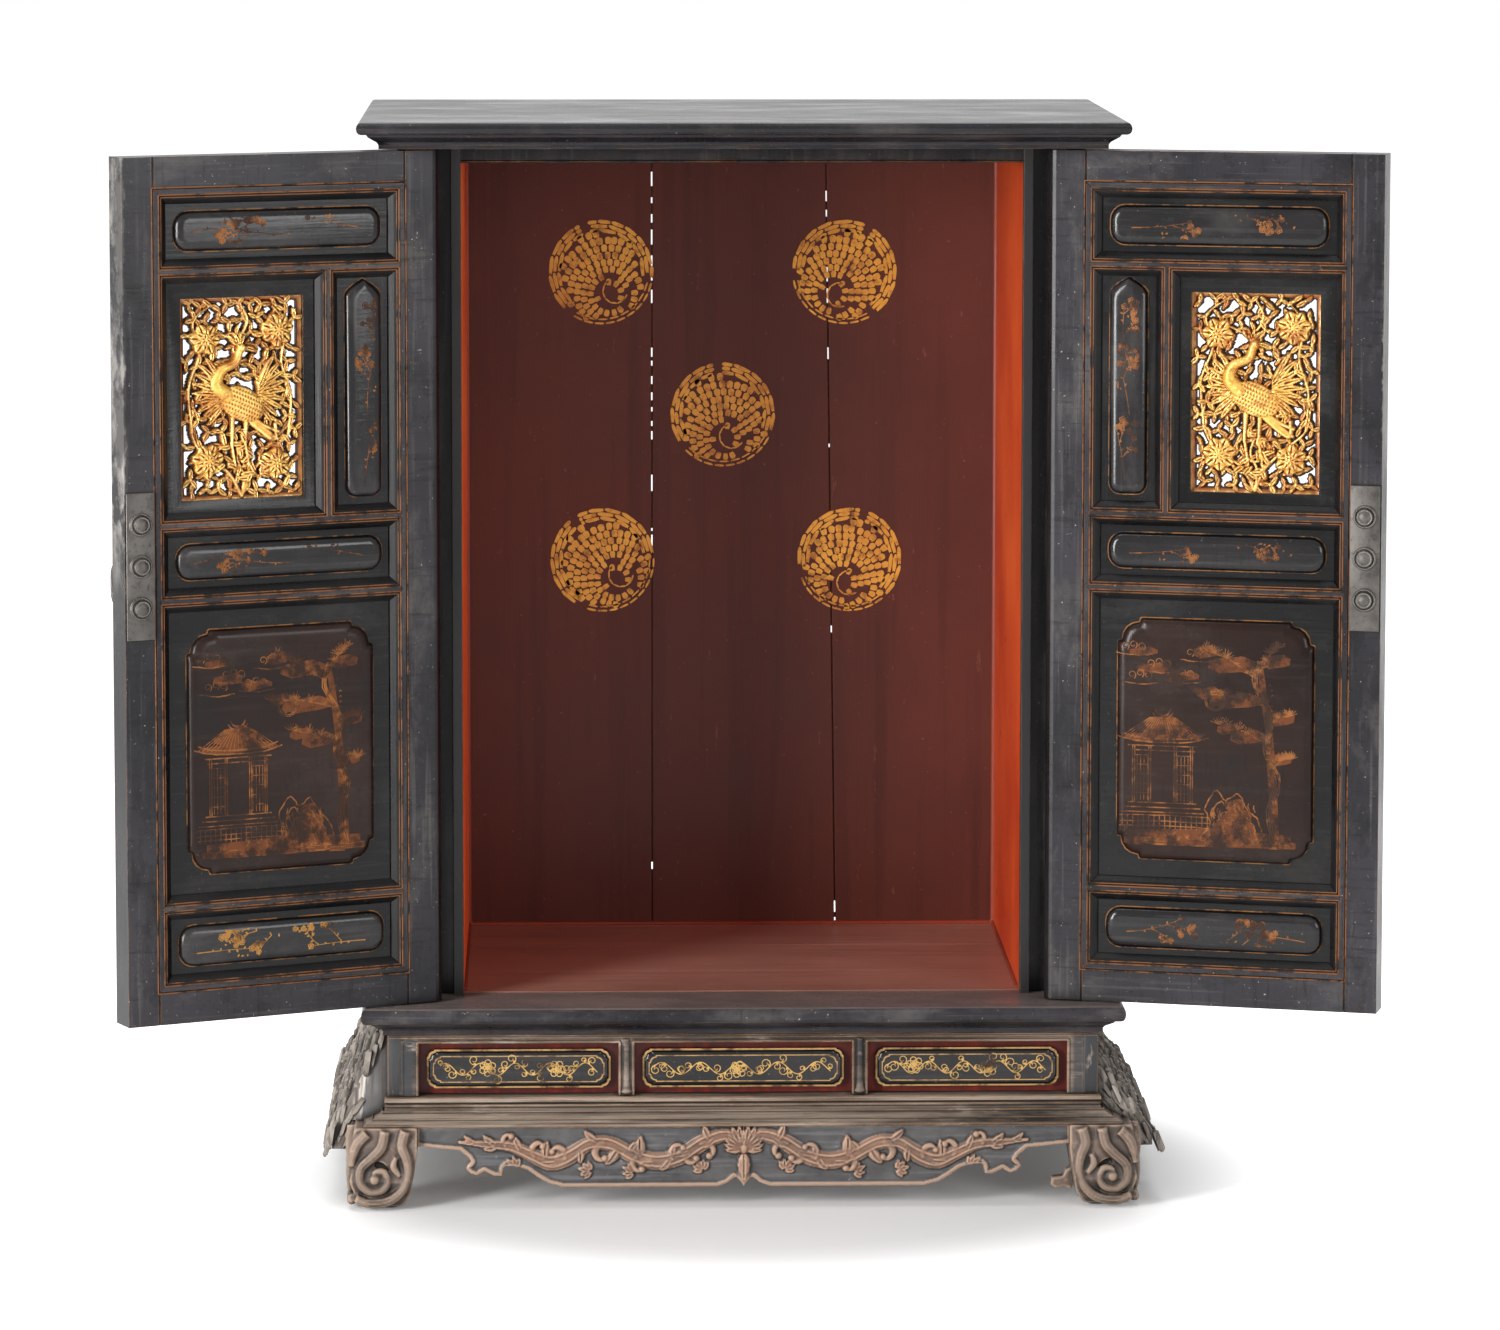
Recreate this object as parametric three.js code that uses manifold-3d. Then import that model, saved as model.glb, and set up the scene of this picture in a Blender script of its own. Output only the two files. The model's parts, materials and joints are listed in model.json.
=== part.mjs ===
// A lacquered wood shrine: a cabinet with two pivoting panelled doors on a waisted, carved stand.
// Millimetres. +Z is up and the front looks towards -Y. The origin is on the ground, in the middle
// of the body's width and halfway between the rear edge and the reach of the open left door.
// Depths are given as a distance ahead of (or behind) the niche's front plane.
import * as THREE from 'three';
import { mergeGeometries, mergeVertices } from 'three/addons/utils/BufferGeometryUtils.js';
import Module from 'manifold-3d';

const wasm = await Module();
wasm.setup();

// Clearances
const fitGap = 0.3;
const overrun = 4;

// Cabinet
const standHigh = 170;
const nicheHigh = 717;
const nicheDeep = 330;
const bodyHalf = 288;
const wallWide = 53;
const slabOverhang = 32;
const slabAhead = 75;
const slabBehind = 350;
const topThick = 22.5;
const topNose = 10.2;
const floorThick = 24.6;
const floorNose = 13.4;

// Edge moulding of both slabs
const noseSetback = 4;
const stepSetback = 8;
const coveSetback = 18;
const slabFillet = 3.4;

// Walls of the niche
const liningThick = 8;
const liningAhead = 10;
const postDeep = 45;
const sideThick = 12;
const backThick = 10;
const headHigh = 14;
const headDeep = 20;
const headBead = 2.5;
const crackWide = 1.4;
const leftCrackX = -71;
const rightCrackTopX = 83;
const rightCrackFootX = 93;

// Doors
const doorInset = 5;
const doorThick = 28;
const doorClear = 1.5;
const meetGap = 1;
const pivotInset = 14.5;
const pivotAhead = 33;
const pintleRadius = 5;
const pintleSides = 20;
const socketDeep = 10;
const hingeEdgeRadius = 8;
const leftOpen = THREE.MathUtils.degToRad(155);
const rightOpen = THREE.MathUtils.degToRad(164);

// Door frame and its openings; muntinX is measured from the hinge edge
const hingeStileWide = 46;
const meetingStileWide = 40;
const footRailHigh = 40;
const topRailHigh = 39;
const railWide = 20;
const muntinX = 102;
const footPanelHigh = 46;
const picturePanelHigh = 234;
const middlePanelHigh = 42;
const carvingPanelHigh = 188;

// Moulded sight edges of the door frame
const bandWide = 5;
const quirkWide = 1.2;
const quirkDeep = 0.8;
const ovoloDrop = 1.8;
const lipThick = 1.2;
const grooveDeep = 6;
const panelThick = 14;

// Raised fields of the panels
const fieldRise = 5;
const fieldRim = 3.5;
const fieldMargin = 6.5;
const fieldSideMargin = 7.5;
const fieldCorner = 12;
const pictureMargin = 16;
const pictureCorner = 24;
const narrowCorner = 9;
const spireHigh = 13;
const spireGap = 1.2;

// Pierced carvings
const carvingThick = 8;
const carvingHingeMargin = 9;
const carvingFreeMargin = 14;
const carvingTopMargin = 13;
const carvingFootMargin = 9;
const carvingBorder = 4;
const holePitchX = 12.5;
const holePitchZ = 12;
const holeRadius = 3.7;
const holeDrift = 1.3;

// Lock plates
const plateWide = 25;
const plateHigh = 121;
const plateThick = 1.6;
const plateFromEdge = 0.8;
const plateFootZ = 320;
const studRadius = 8;
const studRimRadius = 10;
const studRimThick = 1.2;
const studRise = 5;
const studPitch = 34.5;
const shankRadius = 2;
const shankLong = 9;
const studSides = 12;
const gripHigh = 24;
const gripProud = 9;
const gripThick = 5;

// Waist of the stand
const waistProud = 10.5;
const waistAhead = 52;
const waistBehind = 327;
const waistFrameThick = 12;
const waistPostWide = 25;
const waistRailHigh = 7;
const mullionWide = 11;
const middleWindowWide = 185;
const groundThick = 9;
const cartoucheThick = 8;
const cartoucheSideMargin = 8;
const cartoucheTopMargin = 7.5;
const cartoucheFootMargin = 5.5;
const cartoucheCorner = 9;
const cartoucheRim = 2;
const waistBackThick = 10;

// Base board with its flared front
const baseFootZ = 70;
const baseThick = 22;
const flareReach = 19;
const flareLip = 2;
const baseNose = 5.5;

// Legs, apron and rough side pieces
const legProud = 31.5;
const legWide = 57;
const legAhead = 80;
const voluteRadius = 7;
const voluteGap = 7;
const voluteDeep = 8;
const spurThick = 12;
const spurReach = 14;
const apronThick = 14;
const apronAhead = 70;
const apronLift = 18;
const flankProud = 16;
const flankInnerDeep = 12;
const flankFootZ = 45;
const leftFlankTopWide = 15;
const rightFlankShoulderZ = 118;

// Outlines as shares of the width and height they fill, chosen by hand
const legShares = [
  [0, 1], [0.92, 1], [0.98, 0.8], [0.95, 0.53], [1, 0.36], [0.93, 0.2], [0.87, 0.05],
  [0.72, 0], [0.36, 0], [0.2, 0.06], [0.1, 0.2], [0.05, 0.46], [0, 0.72],
];
const bracketShares = [
  [1, 0], [0.84, 0.02], [0.74, 0.12], [0.55, 0.2], [0.36, 0.36],
  [0.2, 0.55], [0.12, 0.74], [0.02, 0.84], [0, 1],
];
const apronShares = [
  [1, 0.68], [0.87, 0.61], [0.845, 0.5], [0.838, 0.43], [0.855, 0.33], [0.84, 0.235], [0.82, 0.195],
  [0.797, 0.27], [0.765, 0.19], [0.742, 0.19], [0.737, 0.33], [0.73, 0.37], [0.7, 0.35], [0.662, 0.28],
  [0.63, 0.16], [0.6, 0.065], [0.555, 0], [0.08, 0], [0.05, 0.06], [0.03, 0.15], [0.018, 0.14], [0, 0.01],
];
const spurShares = [
  [0, 0.42], [0.3, 0.38], [0.42, 0.3], [0.95, 0.29], [1, 0.2], [0.75, 0.15], [0.3, 0.18], [0, 0.12],
];
const birdShares = { x: 0.5, z: 0.44, rx: 0.27, rz: 0.14 };
const blossomShares = [
  { x: 0.2, z: 0.82, r: 0.13 }, { x: 0.68, z: 0.72, r: 0.14 },
  { x: 0.22, z: 0.17, r: 0.13 }, { x: 0.76, z: 0.2, r: 0.12 },
];
const eyeShare = { x: 0.63, z: 0.41 };

// Places that follow from the sizes
const nicheHalf = bodyHalf - wallWide;
const slabHalf = bodyHalf + slabOverhang;
const doorWide = bodyHalf - doorInset;
const waistHalf = bodyHalf + waistProud;
const legOuter = waistHalf + legProud;
const flankOuter = legOuter + flankProud;
const topUnderZ = standHigh + nicheHigh;
const floorUnderZ = standHigh - floorThick;
const doorHalf = doorThick / 2;
const doorHigh = nicheHigh - 2 * doorClear;
const pivotX = doorWide + meetGap - pivotInset;
const freeReach = doorWide - pivotInset;
const doorReach = pivotAhead + freeReach * Math.sin(leftOpen) + doorHalf * Math.abs(Math.cos(leftOpen));
const nicheY = (doorReach - slabBehind) / 2;
const ahead = (distance) => nicheY - distance;
const behind = (distance) => nicheY + distance;

// Materials
function material(color, roughness, metalness = 0) {
  return new THREE.MeshStandardMaterial({ color, roughness, metalness });
}
const lacquer = () => material('#2b2a2c', 0.3);
const redLacquer = () => material('#8f2f1c', 0.45);
const maroon = () => material('#43191a', 0.55);
const goldLeaf = () => material('#d9a441', 0.35, 0.8);
const iron = () => material('#77746f', 0.5, 0.9);
const wornLacquer = () => material('#5f564f', 0.6);
const wornWood = () => material('#8c6f58', 0.7);
const rawWood = () => material('#cfc6ba', 0.85);

// Geometry helpers
const xAxis = new THREE.Vector3(1, 0, 0);
const yAxis = new THREE.Vector3(0, 1, 0);
const zAxis = new THREE.Vector3(0, 0, 1);
const turnTo = {
  x: new THREE.Matrix4().makeBasis(yAxis, zAxis, xAxis),
  y: new THREE.Matrix4().makeBasis(xAxis, zAxis, yAxis.clone().negate()),
  z: new THREE.Matrix4(),
};

function solid(geometry) {
  const bare = geometry.clone();
  bare.deleteAttribute('normal');
  bare.deleteAttribute('uv');
  const welded = mergeVertices(bare);
  const vertProperties = new Float32Array(welded.attributes.position.array);
  const triVerts = new Uint32Array(welded.index.array);
  return new wasm.Manifold(new wasm.Mesh({ numProp: 3, vertProperties, triVerts }));
}

function geometryOf(body) {
  const { numProp, vertProperties, triVerts } = body.getMesh();
  const geometry = new THREE.BufferGeometry();
  geometry.setAttribute('position', new THREE.BufferAttribute(vertProperties, numProp));
  geometry.setIndex(new THREE.BufferAttribute(triVerts, 1));
  geometry.computeVertexNormals();
  return geometry;
}

// A prism of an outline: along x the outline is in (y, z), along y in (x, z) and along z in (x, y).
function prism(outline, along, low, high) {
  const shape = new THREE.Shape(outline.map(([a, b]) => new THREE.Vector2(a, b)));
  const geometry = new THREE.ExtrudeGeometry(shape, { depth: high - low, bevelEnabled: false });
  geometry.translate(0, 0, along === 'y' ? -high : low);
  return geometry.applyMatrix4(turnTo[along]);
}

const rectangle = (a0, a1, b0, b1) => [[a0, b0], [a1, b0], [a1, b1], [a0, b1]];
const block = (x0, x1, y0, y1, z0, z1) => prism(rectangle(x0, x1, y0, y1), 'z', z0, z1);

// A closed skin over rings of points, each ring anticlockwise seen from the last one's side.
function loft(rings) {
  const count = rings[0].length;
  const last = (rings.length - 1) * count;
  const index = [];
  for (let start = 0; start < last; start += count) {
    for (let k = 0; k < count; k++) {
      const a = start + k;
      const b = start + ((k + 1) % count);
      index.push(a, b, b + count, a, b + count, a + count);
    }
  }
  for (let k = 1; k < count - 1; k++) {
    index.push(0, k + 1, k, last, last + k, last + k + 1);
  }
  const geometry = new THREE.BufferGeometry();
  geometry.setAttribute('position', new THREE.Float32BufferAttribute(rings.flat(2), 3));
  geometry.setIndex(index);
  return geometry;
}

function cylinder(radius, low, high, x, y) {
  const geometry = new THREE.CylinderGeometry(radius, radius, high - low, pintleSides);
  geometry.rotateX(Math.PI / 2);
  return geometry.translate(x, y, (low + high) / 2);
}

function mirrored(geometry) {
  const flipped = geometry.clone().scale(-1, 1, 1);
  const order = flipped.index.array;
  for (let k = 0; k < order.length; k += 3) {
    [order[k], order[k + 1]] = [order[k + 1], order[k]];
  }
  flipped.computeVertexNormals();
  return flipped;
}

// A rectangle with rounded corners.
function roundedOutline(a0, a1, b0, b1, corner) {
  const steps = 4;
  const centres = [[a1, b1, 1, 1], [a0, b1, -1, 1], [a0, b0, -1, -1], [a1, b0, 1, -1]];
  return centres.flatMap(([a, b, sideA, sideB], quarter) => {
    const arc = [];
    for (let step = 0; step <= steps; step++) {
      const turn = (quarter + step / steps) * Math.PI / 2;
      arc.push([a + corner * (Math.cos(turn) - sideA), b + corner * (Math.sin(turn) - sideB)]);
    }
    return arc;
  });
}

// A rectangle whose corners are cut like brackets: a bulge between two cusps.
function bracketOutline(a0, a1, b0, b1, corner) {
  const turned = [...bracketShares].reverse();
  return [
    ...turned.map(([inA, inB]) => [a1 - corner * inA, b1 - corner * inB]),
    ...bracketShares.map(([inA, inB]) => [a0 + corner * inA, b1 - corner * inB]),
    ...turned.map(([inA, inB]) => [a0 + corner * inA, b0 + corner * inB]),
    ...bracketShares.map(([inA, inB]) => [a1 - corner * inA, b0 + corner * inB]),
  ];
}

// A plate along y whose rims are rounded on both faces.
function cushion(outline, halfThick, rim) {
  const shape = new THREE.Shape(outline.map(([a, b]) => new THREE.Vector2(a, b)));
  const depth = 2 * (halfThick - rim);
  const rimmed = { depth, bevelThickness: rim, bevelSize: rim, bevelOffset: -rim, bevelSegments: 2 };
  const geometry = new THREE.ExtrudeGeometry(shape, rimmed);
  geometry.translate(0, 0, -depth / 2);
  return geometry.applyMatrix4(turnTo.y);
}

const shrine = new THREE.Group();

function addPiece(parent, name, geometry, finish) {
  const mesh = new THREE.Mesh(geometry, finish);
  mesh.name = name;
  parent.add(mesh);
}

// Slabs: a nose over a step, an ogee and a fillet run round all four edges
function slabLevels(thick, nose) {
  const levels = [[coveSetback, 0]];
  const curveSteps = 4;
  const curveHigh = thick - nose - slabFillet;
  for (let step = 0; step <= curveSteps; step++) {
    const share = step / curveSteps;
    const ease = (1 - Math.cos(Math.PI * share)) / 2;
    levels.push([coveSetback - (coveSetback - stepSetback) * ease, slabFillet + curveHigh * share]);
  }
  const noseSteps = 6;
  for (let step = 0; step <= noseSteps; step++) {
    const turn = (step / noseSteps - 1 / 2) * Math.PI;
    levels.push([noseSetback * (1 - Math.cos(turn)), thick - nose / 2 + (nose / 2) * Math.sin(turn)]);
  }
  return levels;
}

function slab(thick, nose, underZ) {
  return loft(slabLevels(thick, nose).map(([setback, rise]) => {
    const front = ahead(slabAhead - setback);
    const back = behind(slabBehind - setback);
    const side = slabHalf - setback;
    return rectangle(-side, side, front, back).map(([x, y]) => [x, y, underZ + rise]);
  }));
}

function pivotSockets(low, high) {
  const radius = pintleRadius + fitGap;
  return mergeGeometries([-pivotX, pivotX].map((x) => cylinder(radius, low, high, x, ahead(pivotAhead))));
}

const topSockets = pivotSockets(topUnderZ - overrun, topUnderZ + socketDeep);
const topSlab = solid(slab(topThick, topNose, topUnderZ)).subtract(solid(topSockets));
addPiece(shrine, 'top_slab', geometryOf(topSlab), lacquer());
const floorSockets = pivotSockets(standHigh - socketDeep, standHigh + overrun);
const floorSlab = solid(slab(floorThick, floorNose, floorUnderZ)).subtract(solid(floorSockets));
addPiece(shrine, 'floor_slab', geometryOf(floorSlab), lacquer());

// Niche: linings, posts, side boards, back boards and the head rail
const wallFootZ = standHigh + fitGap;
const wallTopZ = topUnderZ - fitGap;
const liningOuter = nicheHalf + liningThick;
for (const [side, sign] of [['left', -1], ['right', 1]]) {
  const span = (a, b) => [sign * a, sign * b].sort((p, q) => p - q);
  const upright = (inner, outer, front, back) => {
    return block(...span(inner, outer), front, back, wallFootZ, wallTopZ);
  };
  const lining = upright(nicheHalf, liningOuter, ahead(liningAhead), behind(nicheDeep));
  const post = upright(liningOuter + fitGap, bodyHalf, ahead(0), behind(postDeep));
  const sideBoard = upright(bodyHalf - sideThick, bodyHalf, behind(postDeep + fitGap), behind(nicheDeep));
  addPiece(shrine, `${side}_lining`, lining, redLacquer());
  addPiece(shrine, `${side}_post`, post, lacquer());
  addPiece(shrine, `${side}_side_board`, sideBoard, lacquer());
}

const backFront = behind(nicheDeep + fitGap);
const backBoards = {
  left_back_board: [[-bodyHalf, -bodyHalf], [leftCrackX - crackWide / 2, leftCrackX - crackWide / 2]],
  middle_back_board: [
    [leftCrackX + crackWide / 2, leftCrackX + crackWide / 2],
    [rightCrackFootX - crackWide / 2, rightCrackTopX - crackWide / 2],
  ],
  right_back_board: [[rightCrackFootX + crackWide / 2, rightCrackTopX + crackWide / 2], [bodyHalf, bodyHalf]],
};
for (const [name, [[leftFoot, leftTop], [rightFoot, rightTop]]] of Object.entries(backBoards)) {
  const outline = [[leftFoot, wallFootZ], [rightFoot, wallFootZ], [rightTop, wallTopZ], [leftTop, wallTopZ]];
  addPiece(shrine, name, prism(outline, 'y', backFront, backFront + backThick), maroon());
}

const headFootZ = topUnderZ - headHigh;
const headFront = ahead(liningAhead);
const headOutline = [
  [headFront, wallTopZ], [headFront, headFootZ + headBead],
  [headFront - headBead / 2, headFootZ + headBead / 2], [headFront, headFootZ],
  [headFront + headDeep, headFootZ], [headFront + headDeep, wallTopZ],
];
addPiece(shrine, 'head_rail', prism(headOutline, 'x', fitGap - nicheHalf, nicheHalf - fitGap), lacquer());

// Door frame members, in the door's own frame: x from the hinge edge, z from the foot, y through it
const railHalf = railWide / 2;
const lowerRailZ = footRailHigh + footPanelHigh + railHalf;
const middleRailZ = lowerRailZ + picturePanelHigh + railWide;
const upperRailZ = middleRailZ + middlePanelHigh + railWide;
const friezeRailZ = upperRailZ + carvingPanelHigh + railWide;
const slopeWide = railHalf - bandWide / 2;
const mouldWide = slopeWide + bandWide;
const grooveHalf = panelThick / 2 + fitGap;
const lipFace = grooveHalf + lipThick;
const hingeSight = hingeStileWide;
const meetingSight = doorWide - meetingStileWide;
const footSight = footRailHigh;
const topSight = doorHigh - topRailHigh;
const mitreGap = fitGap * Math.SQRT2;

// One moulded edge from face to face, as (distance in from the sight line, place through the door).
function sightEdge(hasOuterQuirk) {
  const face = [
    [slopeWide, doorHalf],
    [slopeWide - quirkWide / 2, doorHalf - quirkDeep],
    [slopeWide - quirkWide, doorHalf - quirkDeep / 2],
    [slopeWide / 2, doorHalf - quirkDeep / 2 - ovoloDrop],
    [0, lipFace],
    [0, grooveHalf],
    [grooveDeep, grooveHalf],
  ];
  if (hasOuterQuirk) {
    const outerQuirk = [[quirkWide, doorHalf], [quirkWide / 2, doorHalf - quirkDeep], [0, doorHalf]];
    face.unshift(...outerQuirk.map(([inward, through]) => [mouldWide + inward, through]));
  }
  return [...face, ...face.map(([inward, through]) => [inward, -through]).reverse()];
}

function plainEdge(distance, radius) {
  const edge = [];
  const steps = radius > 0 ? 4 : 0;
  for (const side of [-1, 1]) {
    for (let step = 0; step <= steps; step++) {
      const turn = steps > 0 ? (side < 0 ? step : steps - step) / steps * Math.PI / 2 : 0;
      const inward = radius * (1 - Math.sin(turn));
      edge.push([distance - inward, side * (doorHalf - radius * (1 - Math.cos(turn)))]);
    }
  }
  return edge;
}

const outerMember = (wide, edgeRadius = 0) => [...sightEdge(true), ...plainEdge(wide, edgeRadius)];
const farEdge = sightEdge(false).map(([inward, through]) => [railWide - inward, -through]);
const innerMember = [...sightEdge(false), ...farEdge];

// Door-plane outlines of the rails, with mitres that meet the stiles
function railOutline(middleZ, gap) {
  return [
    [hingeSight - railHalf + gap, middleZ], [hingeSight + gap, middleZ - railHalf],
    [meetingSight - gap, middleZ - railHalf], [meetingSight + railHalf - gap, middleZ],
    [meetingSight - gap, middleZ + railHalf], [hingeSight + gap, middleZ + railHalf],
  ];
}

function endRailOutline(sight, mouldEnd, edge, gap) {
  return [
    [hingeSight + gap, sight], [meetingSight - gap, sight],
    [meetingSight + mouldWide - gap, mouldEnd], [meetingSight + mouldWide - gap, edge],
    [hingeSight - mouldWide + gap, edge], [hingeSight - mouldWide + gap, mouldEnd],
  ];
}

function muntinOutline(gap) {
  const low = upperRailZ + railHalf;
  const high = friezeRailZ - railHalf;
  return [
    [muntinX - railHalf, low + gap], [muntinX, low - railHalf + gap],
    [muntinX + railHalf, low + gap], [muntinX + railHalf, high - gap],
    [muntinX, high + railHalf - gap], [muntinX - railHalf, high - gap],
  ];
}

const through = (outline) => solid(prism(outline, 'y', -doorHalf - overrun, doorHalf + overrun));
const railLow = hingeSight - mouldWide;
const railHigh = meetingSight + mouldWide;

function endRail(isTop, gap) {
  return isTop
    ? endRailOutline(topSight, topSight + mouldWide, doorHigh, gap)
    : endRailOutline(footSight, footSight - mouldWide, 0, gap);
}

function frameMembers() {
  const notches = [
    endRail(true, 0), endRail(false, 0),
    ...[lowerRailZ, middleRailZ, upperRailZ, friezeRailZ].map((z) => railOutline(z, 0)),
  ];
  const notched = (body) => notches.reduce((rest, outline) => rest.subtract(through(outline)), body);

  const hingeProfile = outerMember(hingeStileWide, hingeEdgeRadius);
  const hingeSection = hingeProfile.map(([inward, y]) => [hingeSight - inward, y]);
  const pintleLong = doorClear + socketDeep - fitGap;
  const hingeStile = notched(solid(prism(hingeSection, 'z', 0, doorHigh)))
    .add(solid(cylinder(pintleRadius, -pintleLong, overrun, pivotInset, 0)))
    .add(solid(cylinder(pintleRadius, doorHigh - overrun, doorHigh + pintleLong, pivotInset, 0)));

  const meetingSection = outerMember(meetingStileWide).map(([inward, y]) => [meetingSight + inward, y]);
  const meetingStile = notched(solid(prism(meetingSection, 'z', 0, doorHigh))).subtract(solid(shankHoles()));

  const topSection = outerMember(topRailHigh).map(([inward, y]) => [y, topSight + inward]);
  const topMould = solid(prism(topSection, 'x', railLow, railHigh));
  const topRail = topMould.intersect(through(endRail(true, mitreGap)));
  const footSection = outerMember(footRailHigh).map(([inward, y]) => [y, footSight - inward]);
  const footMould = solid(prism(footSection, 'x', railLow, railHigh));
  const footRail = footMould.intersect(through(endRail(false, mitreGap)));

  const innerRail = (z) => {
    const section = innerMember.map(([inward, y]) => [y, z - railHalf + inward]);
    return solid(prism(section, 'x', railLow, railHigh)).intersect(through(railOutline(z, mitreGap)));
  };
  const muntinSection = innerMember.map(([inward, y]) => [muntinX - railHalf + inward, y]);
  const muntinMould = solid(prism(muntinSection, 'z', upperRailZ, friezeRailZ));
  const muntin = muntinMould.intersect(through(muntinOutline(mitreGap)));
  const muntinSeat = through(muntinOutline(0));

  return {
    hinge_stile: hingeStile,
    meeting_stile: meetingStile,
    top_rail: topRail,
    frieze_rail: innerRail(friezeRailZ).subtract(muntinSeat),
    upper_rail: innerRail(upperRailZ).subtract(muntinSeat),
    middle_rail: innerRail(middleRailZ),
    lower_rail: innerRail(lowerRailZ),
    foot_rail: footRail,
    muntin,
  };
}

// Panels: a thin board in the grooves with a raised field on both faces
const tongue = grooveDeep - fitGap;
const fieldHalf = panelThick / 2 + fieldRise;
const openings = {
  frieze: [hingeSight, meetingSight, friezeRailZ + railHalf, topSight],
  narrow: [hingeSight, muntinX - railHalf, upperRailZ + railHalf, friezeRailZ - railHalf],
  carving: [muntinX + railHalf, meetingSight, upperRailZ + railHalf, friezeRailZ - railHalf],
  middle: [hingeSight, meetingSight, middleRailZ + railHalf, upperRailZ - railHalf],
  picture: [hingeSight, meetingSight, lowerRailZ + railHalf, middleRailZ - railHalf],
  foot: [hingeSight, meetingSight, footSight, lowerRailZ - railHalf],
};

function panelBoard([x0, x1, z0, z1]) {
  return solid(block(x0 - tongue, x1 + tongue, -panelThick / 2, panelThick / 2, z0 - tongue, z1 + tongue));
}

function fieldedPanel(opening) {
  const [x0, x1, z0, z1] = opening;
  const [left, right] = [x0 + fieldSideMargin, x1 - fieldSideMargin];
  const outline = roundedOutline(left, right, z0 + fieldMargin, z1 - fieldMargin, fieldCorner);
  return panelBoard(opening).add(solid(cushion(outline, fieldHalf, fieldRim)));
}

function picturePanel(opening) {
  const [x0, x1, z0, z1] = opening;
  const margin = pictureMargin;
  const outline = bracketOutline(x0 + margin, x1 - margin, z0 + margin, z1 - margin, pictureCorner);
  return panelBoard(opening).add(solid(cushion(outline, fieldHalf, fieldRim)));
}

// The narrow panel's field ends in a spire under the frieze rail and in rounded corners at its foot.
function narrowPanel(opening) {
  const [x0, x1, z0, z1] = opening;
  const left = x0 + fieldSideMargin;
  const right = x1 - fieldSideMargin;
  const middle = (left + right) / 2;
  const tipZ = z1 - spireGap;
  const whole = roundedOutline(left, right, z0 + fieldMargin, tipZ, narrowCorner);
  const foot = whole.slice(whole.length / 2);
  const spireShares = [[1, 0], [0.84, 0.3], [0.52, 0.62], [0.2, 0.86]];
  const shoulderZ = tipZ - spireHigh;
  const halfWide = right - middle;
  const rise = spireShares.map(([across, up]) => [middle + halfWide * across, shoulderZ + spireHigh * up]);
  const fall = rise.map(([x, z]) => [2 * middle - x, z]).reverse();
  const outline = [...rise, [middle, tipZ], ...fall, ...foot];
  return panelBoard(opening).add(solid(cushion(outline, fieldHalf, fieldRim)));
}

// Carving: a board with splayed margins, pierced round a bird and four blossoms
function carvingHoles(x0, x1, z0, z1) {
  const wide = x1 - x0;
  const high = z1 - z0;
  const columns = Math.round(wide / holePitchX);
  const rows = Math.round(high / holePitchZ);
  const holes = [];
  for (let row = 0; row < rows; row++) {
    const shift = row % 2 === 0 ? 1 / 4 : -1 / 4;
    for (let column = 0; column < columns; column++) {
      const phase = row * columns + column;
      const drift = holeDrift * Math.sin(phase * 2);
      const x = x0 + wide * (column + 1 / 2 + shift) / columns + drift;
      const z = z0 + high * (row + 1 / 2) / rows - drift;
      const across = (x - x0) / wide;
      const up = (z - z0) / high;
      const { x: birdX, z: birdZ, rx, rz } = birdShares;
      const inBird = Math.hypot((across - birdX) / rx, (up - birdZ) / rz) < 1;
      const inBlossom = blossomShares.some((blossom) => {
        return Math.hypot((across - blossom.x) * wide, (up - blossom.z) * high) < blossom.r * wide;
      });
      const inMargin = Math.min(x - x0, x1 - x, z - z0, z1 - z) < holeRadius;
      if (!inBird && !inBlossom && !inMargin) {
        holes.push(leafHole(x, z, phase));
      }
    }
  }
  return mergeGeometries(holes);
}

// One opening: a leaf with a fuller end, turned a little further each time.
function leafHole(x, z, phase) {
  const leafShares = [[1.25, 0], [0.55, 0.7], [-0.35, 0.85], [-1, 0.2], [-0.7, -0.6], [0.3, -0.75]];
  const turn = phase * 2.4;
  const size = holeRadius * (0.82 + 0.18 * Math.sin(phase * 1.7));
  const outline = leafShares.map(([along, across]) => [
    x + size * (along * Math.cos(turn) - across * Math.sin(turn)),
    z + size * (along * Math.sin(turn) + across * Math.cos(turn)),
  ]);
  return prism(outline, 'y', -doorHalf, doorHalf);
}

function splayCutter(outer, inner, side) {
  const [x0, x1, z0, z1] = outer;
  const [i0, i1, k0, k1] = inner;
  const deepY = carvingThick / 2;
  const faceY = panelThick / 2;
  const stretch = (faceY + overrun - deepY) / (faceY - deepY);
  const grown = (from, to) => from + (to - from) * stretch;
  const wide = rectangle(grown(i0, x0), grown(i1, x1), grown(k0, z0), grown(k1, z1));
  const near = rectangle(i0, i1, k0, k1).map(([x, z]) => [x, side * deepY, z]);
  const far = wide.map(([x, z]) => [x, side * (faceY + overrun), z]);
  return loft(side < 0 ? [near, far] : [far, near]);
}

function carving(opening) {
  const [x0, x1, z0, z1] = opening;
  const [s0, s1] = [x0 + carvingHingeMargin, x1 - carvingFreeMargin];
  const [t0, t1] = [z0 + carvingFootMargin, z1 - carvingTopMargin];
  const sight = [s0, s1, t0, t1];
  const holes = carvingHoles(s0 + carvingBorder, s1 - carvingBorder, t0 + carvingBorder, t1 - carvingBorder);
  return panelBoard(opening)
    .subtract(solid(splayCutter(opening, sight, -1)))
    .subtract(solid(splayCutter(opening, sight, 1)))
    .subtract(solid(holes));
}

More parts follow.
